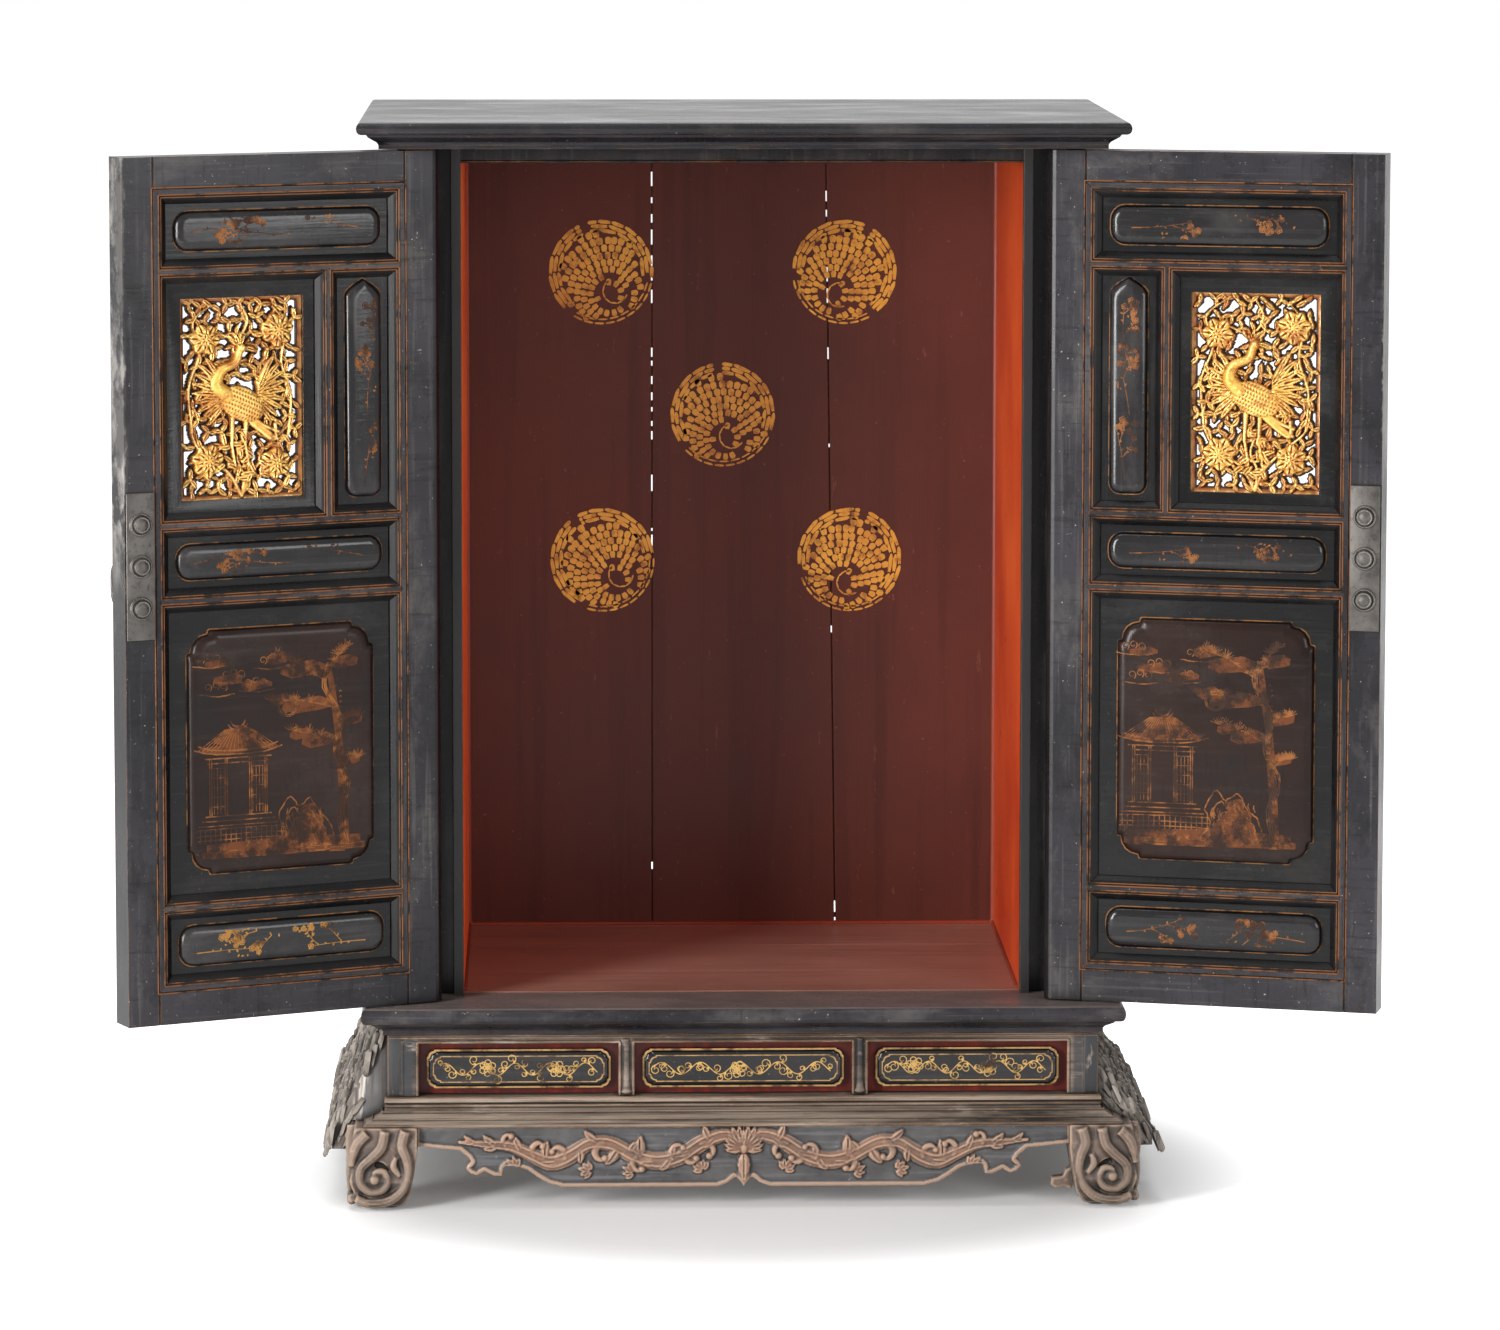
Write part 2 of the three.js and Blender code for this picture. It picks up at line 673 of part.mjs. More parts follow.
// Lock plates: an iron plate with three domed studs whose shanks go into the meeting stile
const plateOuterX = doorWide - plateFromEdge;
const plateMiddleX = plateOuterX - plateWide / 2;
const plateMiddleZ = plateFootZ + plateHigh / 2;
const studPlaces = [-1, 0, 1].map((step) => plateMiddleZ + step * studPitch);
const plateNear = doorHalf + fitGap;
const plateFar = plateNear + plateThick;

function turned(profile, side, z) {
  const geometry = new THREE.LatheGeometry(profile.map(([r, h]) => new THREE.Vector2(r, h)), studSides);
  if (side < 0) {
    geometry.rotateX(Math.PI);
  }
  return geometry.translate(plateMiddleX, 0, z);
}

function studProfile() {
  const rimFace = plateFar + studRimThick;
  const dome = [0, 1, 2].map((step) => {
    const turn = step / 3 * Math.PI / 2;
    return [studRadius * Math.cos(turn), rimFace + studRise * Math.sin(turn)];
  });
  return [
    [0, doorHalf - shankLong], [shankRadius, doorHalf - shankLong], [shankRadius, plateNear + plateThick / 2],
    [studRimRadius, plateNear + plateThick / 2], [studRimRadius, rimFace], ...dome, [0, rimFace + studRise],
  ];
}

function shankHoles() {
  const low = doorHalf - shankLong - fitGap;
  const radius = shankRadius + fitGap;
  const profile = [[0, low], [radius, low], [radius, doorHalf + overrun], [0, doorHalf + overrun]];
  return mergeGeometries([-1, 1].flatMap((side) => studPlaces.map((z) => turned(profile, side, z))));
}

function lockPlate(side) {
  const [y0, y1] = side < 0 ? [-plateFar, -plateNear] : [plateNear, plateFar];
  const plateTopZ = plateFootZ + plateHigh;
  const plate = solid(block(plateOuterX - plateWide, plateOuterX, y0, y1, plateFootZ, plateTopZ));
  return studPlaces.reduce((body, z) => body.add(solid(turned(studProfile(), side, z))), plate);
}

// The outer plate also carries an upright grip beside the meeting edge.
function gripPlate() {
  const gripMiddleZ = plateMiddleZ - studPitch / 2;
  const profileShares = [[-1 / 2, 0], [-1 / 2, 0.6], [-0.3, 1], [0.3, 1], [1 / 2, 0.6], [1 / 2, 0]];
  const seatY = plateNear + plateThick / 2;
  const outline = profileShares.map(([up, out]) => [-seatY - gripProud * out, gripMiddleZ + gripHigh * up]);
  return lockPlate(-1).add(solid(prism(outline, 'x', plateOuterX - gripThick, plateOuterX)));
}

// Doors
function addDoor(side, sign, openAngle) {
  const door = new THREE.Group();
  door.position.set(sign * pivotX, ahead(pivotAhead), standHigh + doorClear);
  door.rotation.z = sign * openAngle;
  const place = (name, body, finish) => {
    const geometry = geometryOf(body).translate(-pivotInset, 0, 0);
    addPiece(door, `${side}_door_${name}`, sign < 0 ? geometry : mirrored(geometry), finish);
  };
  Object.entries(frameMembers()).forEach(([name, body]) => place(name, body, lacquer()));
  place('frieze_panel', fieldedPanel(openings.frieze), lacquer());
  place('narrow_panel', narrowPanel(openings.narrow), lacquer());
  place('carving', carving(openings.carving), goldLeaf());
  place('middle_panel', fieldedPanel(openings.middle), lacquer());
  place('picture_panel', picturePanel(openings.picture), lacquer());
  place('foot_panel', fieldedPanel(openings.foot), lacquer());
  place('inner_lock_plate', lockPlate(1), iron());
  place('outer_lock_plate', gripPlate(), iron());
  shrine.add(door);
}
addDoor('left', -1, leftOpen);
addDoor('right', 1, rightOpen);

// Waist: a front frame with three windows, a red ground behind it and a raised cartouche in each
const waistFootZ = baseFootZ + baseThick + fitGap;
const waistTopZ = floorUnderZ - fitGap;
const windowTopZ = waistTopZ - waistRailHigh;
const middleWindowHalf = middleWindowWide / 2;
const sideWindowInner = middleWindowHalf + mullionWide;
const sideWindowOuter = waistHalf - waistPostWide;
const windows = {
  left: [-sideWindowOuter, -sideWindowInner],
  middle: [-middleWindowHalf, middleWindowHalf],
  right: [sideWindowInner, sideWindowOuter],
};
const waistFrameBack = ahead(waistAhead - waistFrameThick);
const waistFront = ahead(waistAhead);
let waistFrame = solid(block(-waistHalf, waistHalf, waistFront, waistFrameBack, waistFootZ, waistTopZ));
for (const [x0, x1] of Object.values(windows)) {
  const [cutFront, cutBack] = [waistFront - overrun, waistFrameBack + overrun];
  const cutter = block(x0, x1, cutFront, cutBack, waistFootZ - overrun, windowTopZ);
  waistFrame = waistFrame.subtract(solid(cutter));
}
addPiece(shrine, 'waist_frame', geometryOf(waistFrame), wornLacquer());

const groundFront = waistFrameBack + fitGap;
const groundHalf = waistHalf - flankInnerDeep - fitGap;
const ground = block(-groundHalf, groundHalf, groundFront, groundFront + groundThick, waistFootZ, waistTopZ);
addPiece(shrine, 'waist_ground', ground, redLacquer());

const cartoucheFootZ = waistFootZ + cartoucheFootMargin;
const cartoucheTopZ = windowTopZ - cartoucheTopMargin;
for (const [place, [x0, x1]] of Object.entries(windows)) {
  const [left, right] = [x0 + cartoucheSideMargin, x1 - cartoucheSideMargin];
  const outline = roundedOutline(left, right, cartoucheFootZ, cartoucheTopZ, cartoucheCorner);
  const plate = cushion(outline, cartoucheThick / 2, cartoucheRim);
  plate.translate(0, groundFront - fitGap - cartoucheThick / 2, 0);
  addPiece(shrine, `${place}_cartouche`, plate, lacquer());
}

const waistBackFront = behind(waistBehind - waistBackThick);
const waistBack = block(-groundHalf, groundHalf, waistBackFront, behind(waistBehind), waistFootZ, waistTopZ);
addPiece(shrine, 'waist_back', waistBack, wornLacquer());

// Base board: a flat board whose front flares down and out to a thin lip
function flareLevels() {
  const levels = [[0, 0], [0, flareLip]];
  const steps = 5;
  const coveHigh = baseThick - flareLip - baseNose;
  for (let step = 1; step <= steps; step++) {
    const share = step / steps;
    levels.push([flareReach * (1 - (1 - share) ** 2), flareLip + coveHigh * share]);
  }
  const noseSteps = 3;
  for (let step = 0; step <= noseSteps; step++) {
    const turn = (step / noseSteps - 1 / 2) * Math.PI;
    const radius = baseNose / 2;
    levels.push([flareReach - radius * Math.cos(turn), baseThick - radius + radius * Math.sin(turn)]);
  }
  return levels;
}

const flareHalf = waistHalf + flareReach;
const flareAhead = waistAhead + baseNose / 2 + flareReach;
const returnBack = waistFrameBack;
const flaredFront = loft(flareLevels().map(([setback, rise]) => {
  const side = flareHalf - setback;
  const ring = rectangle(-side, side, ahead(flareAhead - setback), returnBack);
  return ring.map(([x, y]) => [x, y, baseFootZ + rise]);
}));
const baseTopZ = baseFootZ + baseThick;
const baseFlat = block(-waistHalf, waistHalf, returnBack - overrun, behind(waistBehind), baseFootZ, baseTopZ);
addPiece(shrine, 'base_board', geometryOf(solid(flaredFront).add(solid(baseFlat))), wornLacquer());

// Legs: the same scroll outline seen from the front and from the side, with a volute on each show face
const legHigh = baseFootZ - fitGap;
const legInner = legOuter - legWide;

function voluteCutters() {
  const crescent = [];
  const steps = 8;
  const inner = voluteRadius;
  const outer = voluteRadius + voluteGap;
  for (let step = 0; step <= steps; step++) {
    const turn = (step / steps * 4 / 3 - 5 / 6) * Math.PI;
    crescent.push([outer * Math.cos(turn), outer * Math.sin(turn)]);
  }
  for (let step = steps; step >= 0; step--) {
    const turn = (step / steps * 4 / 3 - 5 / 6) * Math.PI;
    crescent.push([inner * Math.cos(turn), inner * Math.sin(turn)]);
  }
  const eyeX = eyeShare.x * legWide;
  const eyeZ = eyeShare.z * legHigh;
  const face = crescent.map(([a, b]) => [eyeX - a, eyeZ + b]);
  return [
    prism(face, 'y', -legWide - overrun, voluteDeep - legWide),
    prism(face.map(([a, b]) => [-a, b]), 'x', legWide - voluteDeep, legWide + overrun),
  ];
}

function legBody(isFront) {
  const outline = legShares.map(([across, up]) => [across * legWide, up * legHigh]);
  const seenFromFront = solid(prism(outline, 'y', -legWide - overrun, overrun));
  const seenFromSide = solid(prism(outline.map(([a, b]) => [-a, b]), 'x', -overrun, legWide + overrun));
  const body = seenFromFront.intersect(seenFromSide);
  return isFront ? voluteCutters().reduce((rest, cutter) => rest.subtract(solid(cutter)), body) : body;
}

// A broken carved spur stays on the inner side of the right front leg.
function spur() {
  const outline = spurShares.map(([across, up]) => [overrun - across * (spurReach + overrun), up * legHigh]);
  return solid(prism(outline, 'y', -legWide / 2, spurThick - legWide / 2));
}

function addLeg(name, xSign, isFront, withSpur) {
  const body = withSpur ? legBody(isFront).add(spur()) : legBody(isFront);
  const geometry = geometryOf(body);
  const leg = xSign < 0 ? mirrored(geometry) : geometry;
  if (isFront) {
    leg.translate(xSign * legInner, ahead(legAhead - legWide), 0);
    addPiece(shrine, name, leg, wornWood());
    return;
  }
  const rearLeg = mirrored(leg).rotateZ(Math.PI);
  rearLeg.translate(xSign * legInner, behind(waistBehind - legWide), 0);
  addPiece(shrine, name, rearLeg, wornWood());
}
addLeg('left_front_leg', -1, true, false);
addLeg('right_front_leg', 1, true, true);
addLeg('left_rear_leg', -1, false, false);
addLeg('right_rear_leg', 1, false, false);

// Apron: a scalloped board between the front legs
const apronHalf = legInner - fitGap;
const apronTopZ = baseFootZ - fitGap;
const apronHigh = apronTopZ - apronLift;
const apronRight = apronShares.map(([across, up]) => [across * apronHalf, apronLift + up * apronHigh]);
const apronLeft = apronRight.slice(0, -1).map(([x, z]) => [-x, z]).reverse();
const apronOutline = [[apronHalf, apronTopZ], ...apronRight, ...apronLeft, [-apronHalf, apronTopZ]];
const apron = prism(apronOutline, 'y', ahead(apronAhead), ahead(apronAhead - apronThick));
addPiece(shrine, 'front_apron', apron, wornWood());

// Flanks: rough sloping pieces on the stand's sides
const flankFrontY = waistFrameBack + fitGap;
const flankBackY = behind(waistBehind);
const flankInner = waistHalf - flankInnerDeep;
const flankSeatZ = baseFootZ + fitGap;
const flankTipZ = (flankFootZ + flankSeatZ) / 2;

function flankOutline(shoulder) {
  return [
    [flankInner, waistFootZ], [waistHalf + fitGap, waistFootZ],
    [waistHalf + fitGap, flankSeatZ], [legOuter + fitGap, flankSeatZ],
    [legOuter + fitGap, flankFootZ], [flankOuter - fitGap, flankFootZ + fitGap],
    [flankOuter, flankTipZ], ...shoulder, [flankInner, waistTopZ],
  ];
}

const leftFlank = flankOutline([[flankInner + leftFlankTopWide, waistTopZ]]).map(([x, z]) => [-x, z]);
const rightFlank = flankOutline([[waistHalf, rightFlankShoulderZ], [waistHalf, waistTopZ]]);
addPiece(shrine, 'left_flank', prism(leftFlank, 'y', flankFrontY, flankBackY), rawWood());
addPiece(shrine, 'right_flank', prism(rightFlank, 'y', flankFrontY, flankBackY), rawWood());

export default shrine;
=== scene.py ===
# %% [markdown]
# # A lacquered wood shrine, dressed in Blender
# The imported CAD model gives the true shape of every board, rail and door. This lesson keeps that frame
# where it is, gives each board its old lacquer, and adds what a carver and a gilder would: raised
# fields, pierced gilt carvings, painted sprays, scroll feet and splintered flanks.

# %% Load the frame
import json
import math
import random

import bmesh
import bpy
import numpy as np
from mathutils import Euler, Matrix, Vector, noise


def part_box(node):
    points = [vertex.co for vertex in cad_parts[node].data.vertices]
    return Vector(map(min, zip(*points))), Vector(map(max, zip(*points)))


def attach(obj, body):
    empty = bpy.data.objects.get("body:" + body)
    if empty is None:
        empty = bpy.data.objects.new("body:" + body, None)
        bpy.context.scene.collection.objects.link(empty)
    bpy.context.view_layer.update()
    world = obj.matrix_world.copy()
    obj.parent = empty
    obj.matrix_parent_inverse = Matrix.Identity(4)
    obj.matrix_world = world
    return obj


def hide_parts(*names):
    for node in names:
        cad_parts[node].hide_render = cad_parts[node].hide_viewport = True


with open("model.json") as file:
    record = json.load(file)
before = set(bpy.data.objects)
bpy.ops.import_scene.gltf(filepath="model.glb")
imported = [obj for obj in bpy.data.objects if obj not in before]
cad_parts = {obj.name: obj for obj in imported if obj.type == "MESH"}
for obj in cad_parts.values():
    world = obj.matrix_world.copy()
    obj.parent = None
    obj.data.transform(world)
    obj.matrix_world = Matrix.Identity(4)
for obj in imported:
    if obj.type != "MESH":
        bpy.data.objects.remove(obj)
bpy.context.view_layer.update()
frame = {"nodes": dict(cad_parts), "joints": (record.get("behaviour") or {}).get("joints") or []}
MM = 0.001

# %% [markdown]
# ## Places that the whole lesson shares
# The doors stand open, each turned about its own pivot, so every door piece is modelled on a door that
# lies flat on a drawing board: u runs from the hinge edge, v up from the foot and w out of the face that
# the photograph shows. One matrix per door then hangs the piece. It is far easier to model on a square
# board than on one that is turned by 155 degrees.

# %% Door frames and their matrices
joints = {joint["child"]: joint for joint in frame["joints"]}
pivot_inset = 14.5 * MM
door_half = 14 * MM
door_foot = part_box("left_lining")[0].z + 1.2 * MM
niche_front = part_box("left_post")[0].y
niche_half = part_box("right_lining")[0].x
niche_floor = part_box("floor_slab")[1].z
niche_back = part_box("middle_back_board")[0].y


def door_matrix(side):
    """From the flat door's own frame (u, w, v) to where the open door hangs."""
    joint = joints[side + "_door"]
    sign, stop = (-1, 1) if side == "left" else (1, 0)
    pivot = Vector(joint["pos_m"])
    pivot.z = door_foot
    turn = Matrix.Rotation(math.radians(-joint["range_deg"][stop]), 4, "Z")
    mirror = Matrix.Diagonal((-sign, 1, 1, 1))
    return Matrix.Translation(pivot) @ turn @ mirror @ Matrix.Translation((-pivot_inset, 0, 0))


def facing_front(y):
    """From a drawing board (right, up, towards the viewer) to the cabinet's front at a depth y."""
    return Matrix(((1, 0, 0, 0), (0, 0, -1, y), (0, 1, 0, 0), (0, 0, 0, 1)))


hang = {side: door_matrix(side) for side in ("left", "right")}
board_to_door = Matrix(((1, 0, 0, 0), (0, 0, 1, 0), (0, 1, 0, 0), (0, 0, 0, 1)))
on_door = {side: hang[side] @ board_to_door for side in hang}
door_faces = [(side, "inner", on_door[side]) for side in hang]
door_faces += [(side, "outer", on_door[side] @ Matrix.Diagonal((1, 1, -1, 1))) for side in hang]
door_faces.sort(key=lambda row: row[0])
# a pattern on a door starts at its hinge edge and is turned with it
square_on = {
    side: {"turn": math.atan2(hang[side][1][0], hang[side][0][0]), "origin": hang[side].translation}
    for side in hang
}
for side in hang:
    print(side, "door hangs from", [round(x, 4) for x in hang[side].translation])

# %% [markdown]
# ## Camera
# The photograph was taken from a little above the middle of the cabinet with a long lens. A long lens
# far away keeps the boards straight; a small downward shift keeps the uprights nearly parallel, as a
# view camera would. Its place was worked out from corners that the CAD model and the photo share.

# %% Camera
image_wide = 1500
lens_pixels = 6516.7


def new_object(name, data):
    piece = bpy.data.objects.new(name, data)
    bpy.context.scene.collection.objects.link(piece)
    return piece


camera = new_object("camera", bpy.data.cameras.new("camera"))
bpy.context.scene.camera = camera
camera.data.lens = lens_pixels * camera.data.sensor_width / image_wide
camera.data.shift_y = -0.12
camera.location = Vector((-152.4, -5535.4, 1174.7)) * MM
camera.rotation_euler = Euler([math.radians(angle) for angle in (90 - 6.01, -0.05, -1.67)])
camera.data.clip_start = 0.1
camera.data.clip_end = 60
print("lens", round(camera.data.lens, 1), "mm")

# %% [markdown]
# ## Hand tools
# Modelling by hand is a rhythm: select one thing, enter edit mode, pick faces, extrude, inset. These
# helpers keep that rhythm short. A drawn plate is the one used most: an outline is drawn as a filled
# ring of points, given its thickness, and stepped in along its rim, as a router would do it.

# %% Selecting, starting and closing a piece
def deselect():
    if bpy.context.mode != "OBJECT":
        bpy.ops.object.mode_set(mode="OBJECT")
    bpy.ops.object.select_all(action="DESELECT")


def take(piece):
    """Selects one piece alone and makes it the active one."""
    deselect()
    piece.select_set(True)
    bpy.context.view_layer.objects.active = piece


def start(name, primitive, **settings):
    """Adds a primitive with nothing else selected, and names it."""
    deselect()
    primitive(**settings)
    bpy.context.object.name = name
    return bpy.context.object


def edit_all():
    bpy.ops.object.mode_set(mode="EDIT")
    bpy.ops.mesh.select_all(action="SELECT")


def close_up():
    """Turns all faces outwards and leaves edit mode."""
    bpy.ops.mesh.select_all(action="SELECT")
    bpy.ops.mesh.normals_make_consistent(inside=False)
    bpy.ops.object.mode_set(mode="OBJECT")


def pick(kind, rule):
    """Selects in edit mode the faces or edges that the rule accepts."""
    bpy.ops.mesh.select_mode(type=kind)
    bpy.ops.mesh.select_all(action="DESELECT")
    mesh = bmesh.from_edit_mesh(bpy.context.edit_object.data)
    for part in mesh.edges if kind == "EDGE" else mesh.faces:
        if rule(part):
            part.select_set(True)
    mesh.select_flush_mode()
    bmesh.update_edit_mesh(bpy.context.edit_object.data)


def rectangle(u0, u1, v0, v1, scale=MM):
    return [(u * scale, v * scale) for u, v in ((u1, v1), (u0, v1), (u0, v0), (u1, v0))]


def at(u, v, w=0.0):
    return Matrix.Translation((u * MM, v * MM, w * MM))


def sized(u, v, w):
    return Matrix.Diagonal((u * MM, v * MM, w * MM, 1))


print("selecting tools ready")

# %% Drawing plates
def filled_ring(name, outline):
    """An outline as one face that looks up, in edit mode and selected."""
    piece = start(name, bpy.ops.mesh.primitive_circle_add, vertices=len(outline), fill_type="NGON")
    for point, place in zip(piece.data.vertices, outline):
        point.co = (*place, 0)
    edit_all()
    if bmesh.from_edit_mesh(piece.data).faces[:][0].normal.z < 0:
        bpy.ops.mesh.flip_normals()
    return piece


def drawn_plate(name, outline, thick, rim=()):
    """A filled outline, raised by its thickness, with rim steps of (inward, upward)."""
    piece = filled_ring(name, outline)
    bpy.ops.mesh.extrude_region_move(TRANSFORM_OT_translate={"value": (0, 0, thick)})
    for inward, upward in rim:
        bpy.ops.mesh.inset(thickness=inward, depth=upward, use_even_offset=True)
    close_up()
    return piece


def ringed_plate(name, shape, steps):
    """Steps of (inward, upward, slot) in mm: each ring is extruded from the one below and moved to the
    outline that shape draws for it, because insets would break cusps and spires."""
    inset, height, outline = 0.0, 0.0, shape(0.0)
    piece = filled_ring(name, outline)
    for inward, upward, slot in steps:
        inset, height = inset + inward, height + upward
        above = shape(inset)
        below = np.array(outline)
        bpy.ops.mesh.extrude_region_move()
        mesh = bmesh.from_edit_mesh(piece.data)
        for point in mesh.verts:
            if point.select:
                home = int(np.argmin(np.hypot(below[:, 0] - point.co.x, below[:, 1] - point.co.y)))
                point.co = (*above[home], height * MM)
        for face in mesh.faces:
            if not face.select and any(point.select for point in face.verts):
                face.material_index = slot
        bmesh.update_edit_mesh(piece.data)
        outline = above
    close_up()
    return piece


print("plate tools ready")

# %% Rims and strokes
def round_over(wide, high, steps):
    """Rim steps that turn over like a quarter of an ellipse."""
    turns = [k / steps * math.pi / 2 for k in range(steps + 1)]
    places = [(wide * (1 - math.cos(t)), high * math.sin(t)) for t in turns]
    return [(b[0] - a[0], b[1] - a[1], 0) for a, b in zip(places, places[1:])]


def line_work(name, lines, radius, flat=1.0, sides=1):
    """Strokes of (x, y, z, share) drawn as curves with a round section, made a mesh and pressed flat."""
    drawing = bpy.data.curves.new(name, "CURVE")
    drawing.dimensions = "3D"
    drawing.bevel_depth = radius
    drawing.bevel_resolution = sides
    drawing.use_fill_caps = True
    for line in lines:
        stroke = drawing.splines.new("POLY")
        stroke.points.add(len(line) - 1)
        for point, (x, y, z, share) in zip(stroke.points, line):
            point.co = (x, y, z / flat, 1)
            point.radius = share
    take(new_object(name, drawing))
    bpy.ops.object.convert(target="MESH")
    piece = bpy.context.object
    piece.data.transform(Matrix.Diagonal((1, 1, flat, 1)))
    return piece


def lift(lines, w):
    """Lines of (u, v, share) in mm as strokes in metres, at a height w over the board."""
    return [[(u * MM, v * MM, w, share) for u, v, share in line] for line in lines]


print("stroke tools ready")

# %% Copying, gathering and settling
def move(piece, matrix):
    """A mirrored piece is turned outside out again."""
    piece.data.transform(matrix)
    if matrix.determinant() < 0:
        piece.data.flip_normals()


def copy_to(source, name, matrix):
    """A copy with its own mesh, moved by the matrix."""
    piece = new_object(name, source.data.copy())
    piece.data.name = name
    move(piece, matrix)
    return piece


def spots(piece):
    places = np.empty(len(piece.data.vertices) * 3)
    piece.data.vertices.foreach_get("co", places)
    return places.reshape(-1, 3)


def gather(name, parts):
    """One mesh from placed copies of small modelled pieces, given as pairs of (piece, matrix)."""
    points, faces, slots = [], [], []
    first = 0
    for source, matrix in parts:
        m = np.array(matrix)
        points.append(spots(source) @ m[:3, :3].T + m[:3, 3])
        step = -1 if np.linalg.det(m[:3, :3]) < 0 else 1
        for face in source.data.polygons:
            faces.append([first + index for index in face.vertices][::step])
            slots.append(face.material_index)
        first += len(source.data.vertices)
    mesh = bpy.data.meshes.new(name)
    mesh.from_pydata(np.concatenate(points).tolist(), [], faces)
    mesh.polygons.foreach_set("material_index", slots)
    return new_object(name, mesh)


def settle(piece, body, slot, *finishes, angle=40):
    """Applies the place, smooths by angle, gives the finishes and hangs the piece on its body."""
    take(piece)
    bpy.ops.object.transform_apply(location=True, rotation=True, scale=True)
    bpy.ops.object.shade_smooth_by_angle(angle=math.radians(angle))
    # clearing the old materials sets every face back to the first slot, so the slots are kept
    slots = np.zeros(len(piece.data.polygons), np.int32)
    piece.data.polygons.foreach_get("material_index", slots)
    piece.data.materials.clear()
    for finish in finishes:
        piece.data.materials.append(finish)
    piece.data.polygons.foreach_set("material_index", slots)
    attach(piece, body)


def discard(*pieces):
    for piece in pieces:
        bpy.data.objects.remove(piece)


print("hand tools ready")

# %% [markdown]
# ## A small bench for mixing finishes
# Every finish here is mixed from noise in the object's own coordinates, so it needs no pictures and
# stays put when a door swings. A finish starts from a base colour, and coats are laid over it where a
# pattern lies in a range, or where an edge or a hollow is found. Its last line joins it to the shader.

# %% Colour and node helpers
def tint(code):
    """A written sRGB colour as the linear values that shaders take."""
    parts = [int(code[k:k + 2], 16) / 255 for k in (1, 3, 5)]
    return (*[c / 12.92 if c <= 0.04045 else ((c + 0.055) / 1.055) ** 2.4 for c in parts], 1)


def plug(tree, value, socket):
    """Links another node's output, or sets a colour or a number."""
    if isinstance(value, bpy.types.NodeSocket):
        tree.links.new(value, socket)
    else:
        socket.default_value = tint(value) if isinstance(value, str) else value


def add_node(tree, kind, inputs, **settings):
    """A new node with its settings and inputs; gives back its outputs."""
    node = tree.nodes.new("ShaderNode" + kind)
    for key, value in settings.items():
        setattr(node, key, value)
    for key, value in inputs.items():
        plug(tree, value, node.inputs[key])
    return node.outputs


print("node helpers ready")

# %% The bench
class Bench:
    """A material on the bench, with its node tree, its shader's sockets and its base colour so far."""

    def __init__(self, name, rough, turn=0, origin=(0, 0, 0), shine=0.5, metal=0.0):
        self.material = bpy.data.materials.new(name)
        self.material.use_nodes = True
        self.tree = self.material.node_tree
        self.shader = self.tree.nodes["Principled BSDF"].inputs
        for key, value in (("Roughness", rough), ("Specular IOR Level", shine), ("Metallic", metal)):
            self.shader[key].default_value = value
        self.place = self.node("TexCoord")["Object"]
        if turn or any(origin):
            # the pattern lies square on the door: first move the origin to the pivot, then unturn
            moved = {"Vector": self.place, "Location": origin, "Rotation": (0, 0, turn)}
            self.place = self.node("Mapping", moved, vector_type="TEXTURE")["Vector"]

    def node(self, kind, inputs={}, **settings):
        return add_node(self.tree, kind, inputs, **settings)

    def math(self, operation, a, b=0.0):
        return self.node("Math", {0: a, 1: b}, operation=operation)[0]

    def times(self, a, b):
        return self.math("MULTIPLY", a, b)

    def plus(self, a, b):
        return self.math("ADD", a, b)

    def axis(self, letter):
        return self.node("SeparateXYZ", {"Vector": self.place})[letter]

    def noise(self, scale, detail=4, stretch=(1, 1, 1), rough=0.55, shift=0.0):
        """A noise whose grain is stretched along the axes with small factors."""
        spot = self.node("Mapping", {"Vector": self.place, "Scale": stretch, "Location": (shift,) * 3})
        settings = {"Vector": spot["Vector"], "Scale": scale, "Detail": detail, "Roughness": rough}
        return self.node("TexNoise", settings)["Fac"]

    def range(self, value, low, high, to_low=0.0, to_high=1.0):
        limits = {"Value": value, "From Min": low, "From Max": high, "To Min": to_low, "To Max": to_high}
        return self.node("MapRange", limits)["Result"]

    def mix(self, share, a, b):
        return self.node("Mix", {"Factor": share, 6: a, 7: b}, data_type="RGBA")[2]

    def blend(self, pattern, a, b, low=0.3, high=0.7):
        return self.mix(self.range(pattern, low, high), a, b)

    def lay(self, colour, share, strength=1):
        """Lays a colour over the base where share is high."""
        self.base = self.mix(share if strength == 1 else self.times(share, strength), self.base, colour)

    def coat(self, colour, pattern, low, high, most=1.0, least=0.0):
        """Lays a colour over the base as a pattern goes from low to high."""
        self.lay(colour, self.range(pattern, low, high, least, most))

    def painted_shade_in_hollows(self, reach):
        """0 in the open, up to 1 deep in a groove or a hollow: the mask for painted shade there."""
        return self.range(self.node("AmbientOcclusion", {"Distance": reach}, samples=5)["AO"], 0.92, 0.5)

    def hollow(self, low, high):
        """From 0 in a hollow to 1 on a ridge."""
        return self.range(self.node("NewGeometry")["Pointiness"], low, high)

    def soft_normal(self, radius):
        return self.node("Bevel", {"Radius": radius}, samples=4)["Normal"]

    def arris(self, normal, low=0.985, high=0.87):
        """1 on edges and 0 on flats: the rounded normal leans away from the true one near an edge."""
        true_normal = self.node("NewGeometry")["Normal"]
        return self.range(
            self.node("VectorMath", {0: normal, 1: true_normal}, operation="DOT_PRODUCT")["Value"], low, high)

    def done(self, rough, bump, depth, normal=None):
        """Joins the base, a roughness by (pattern, low, high, from, to) and a bump to the shader."""
        plug(self.tree, self.base, self.shader["Base Color"])
        if rough:
            plug(self.tree, self.range(*rough), self.shader["Roughness"])
        inputs = {"Height": bump, "Distance": depth, "Strength": 0.7}
        if normal is not None:
            inputs["Normal"] = normal
        plug(self.tree, self.node("Bump", inputs)["Normal"], self.shader["Normal"])
        return self.material


print("bench ready")

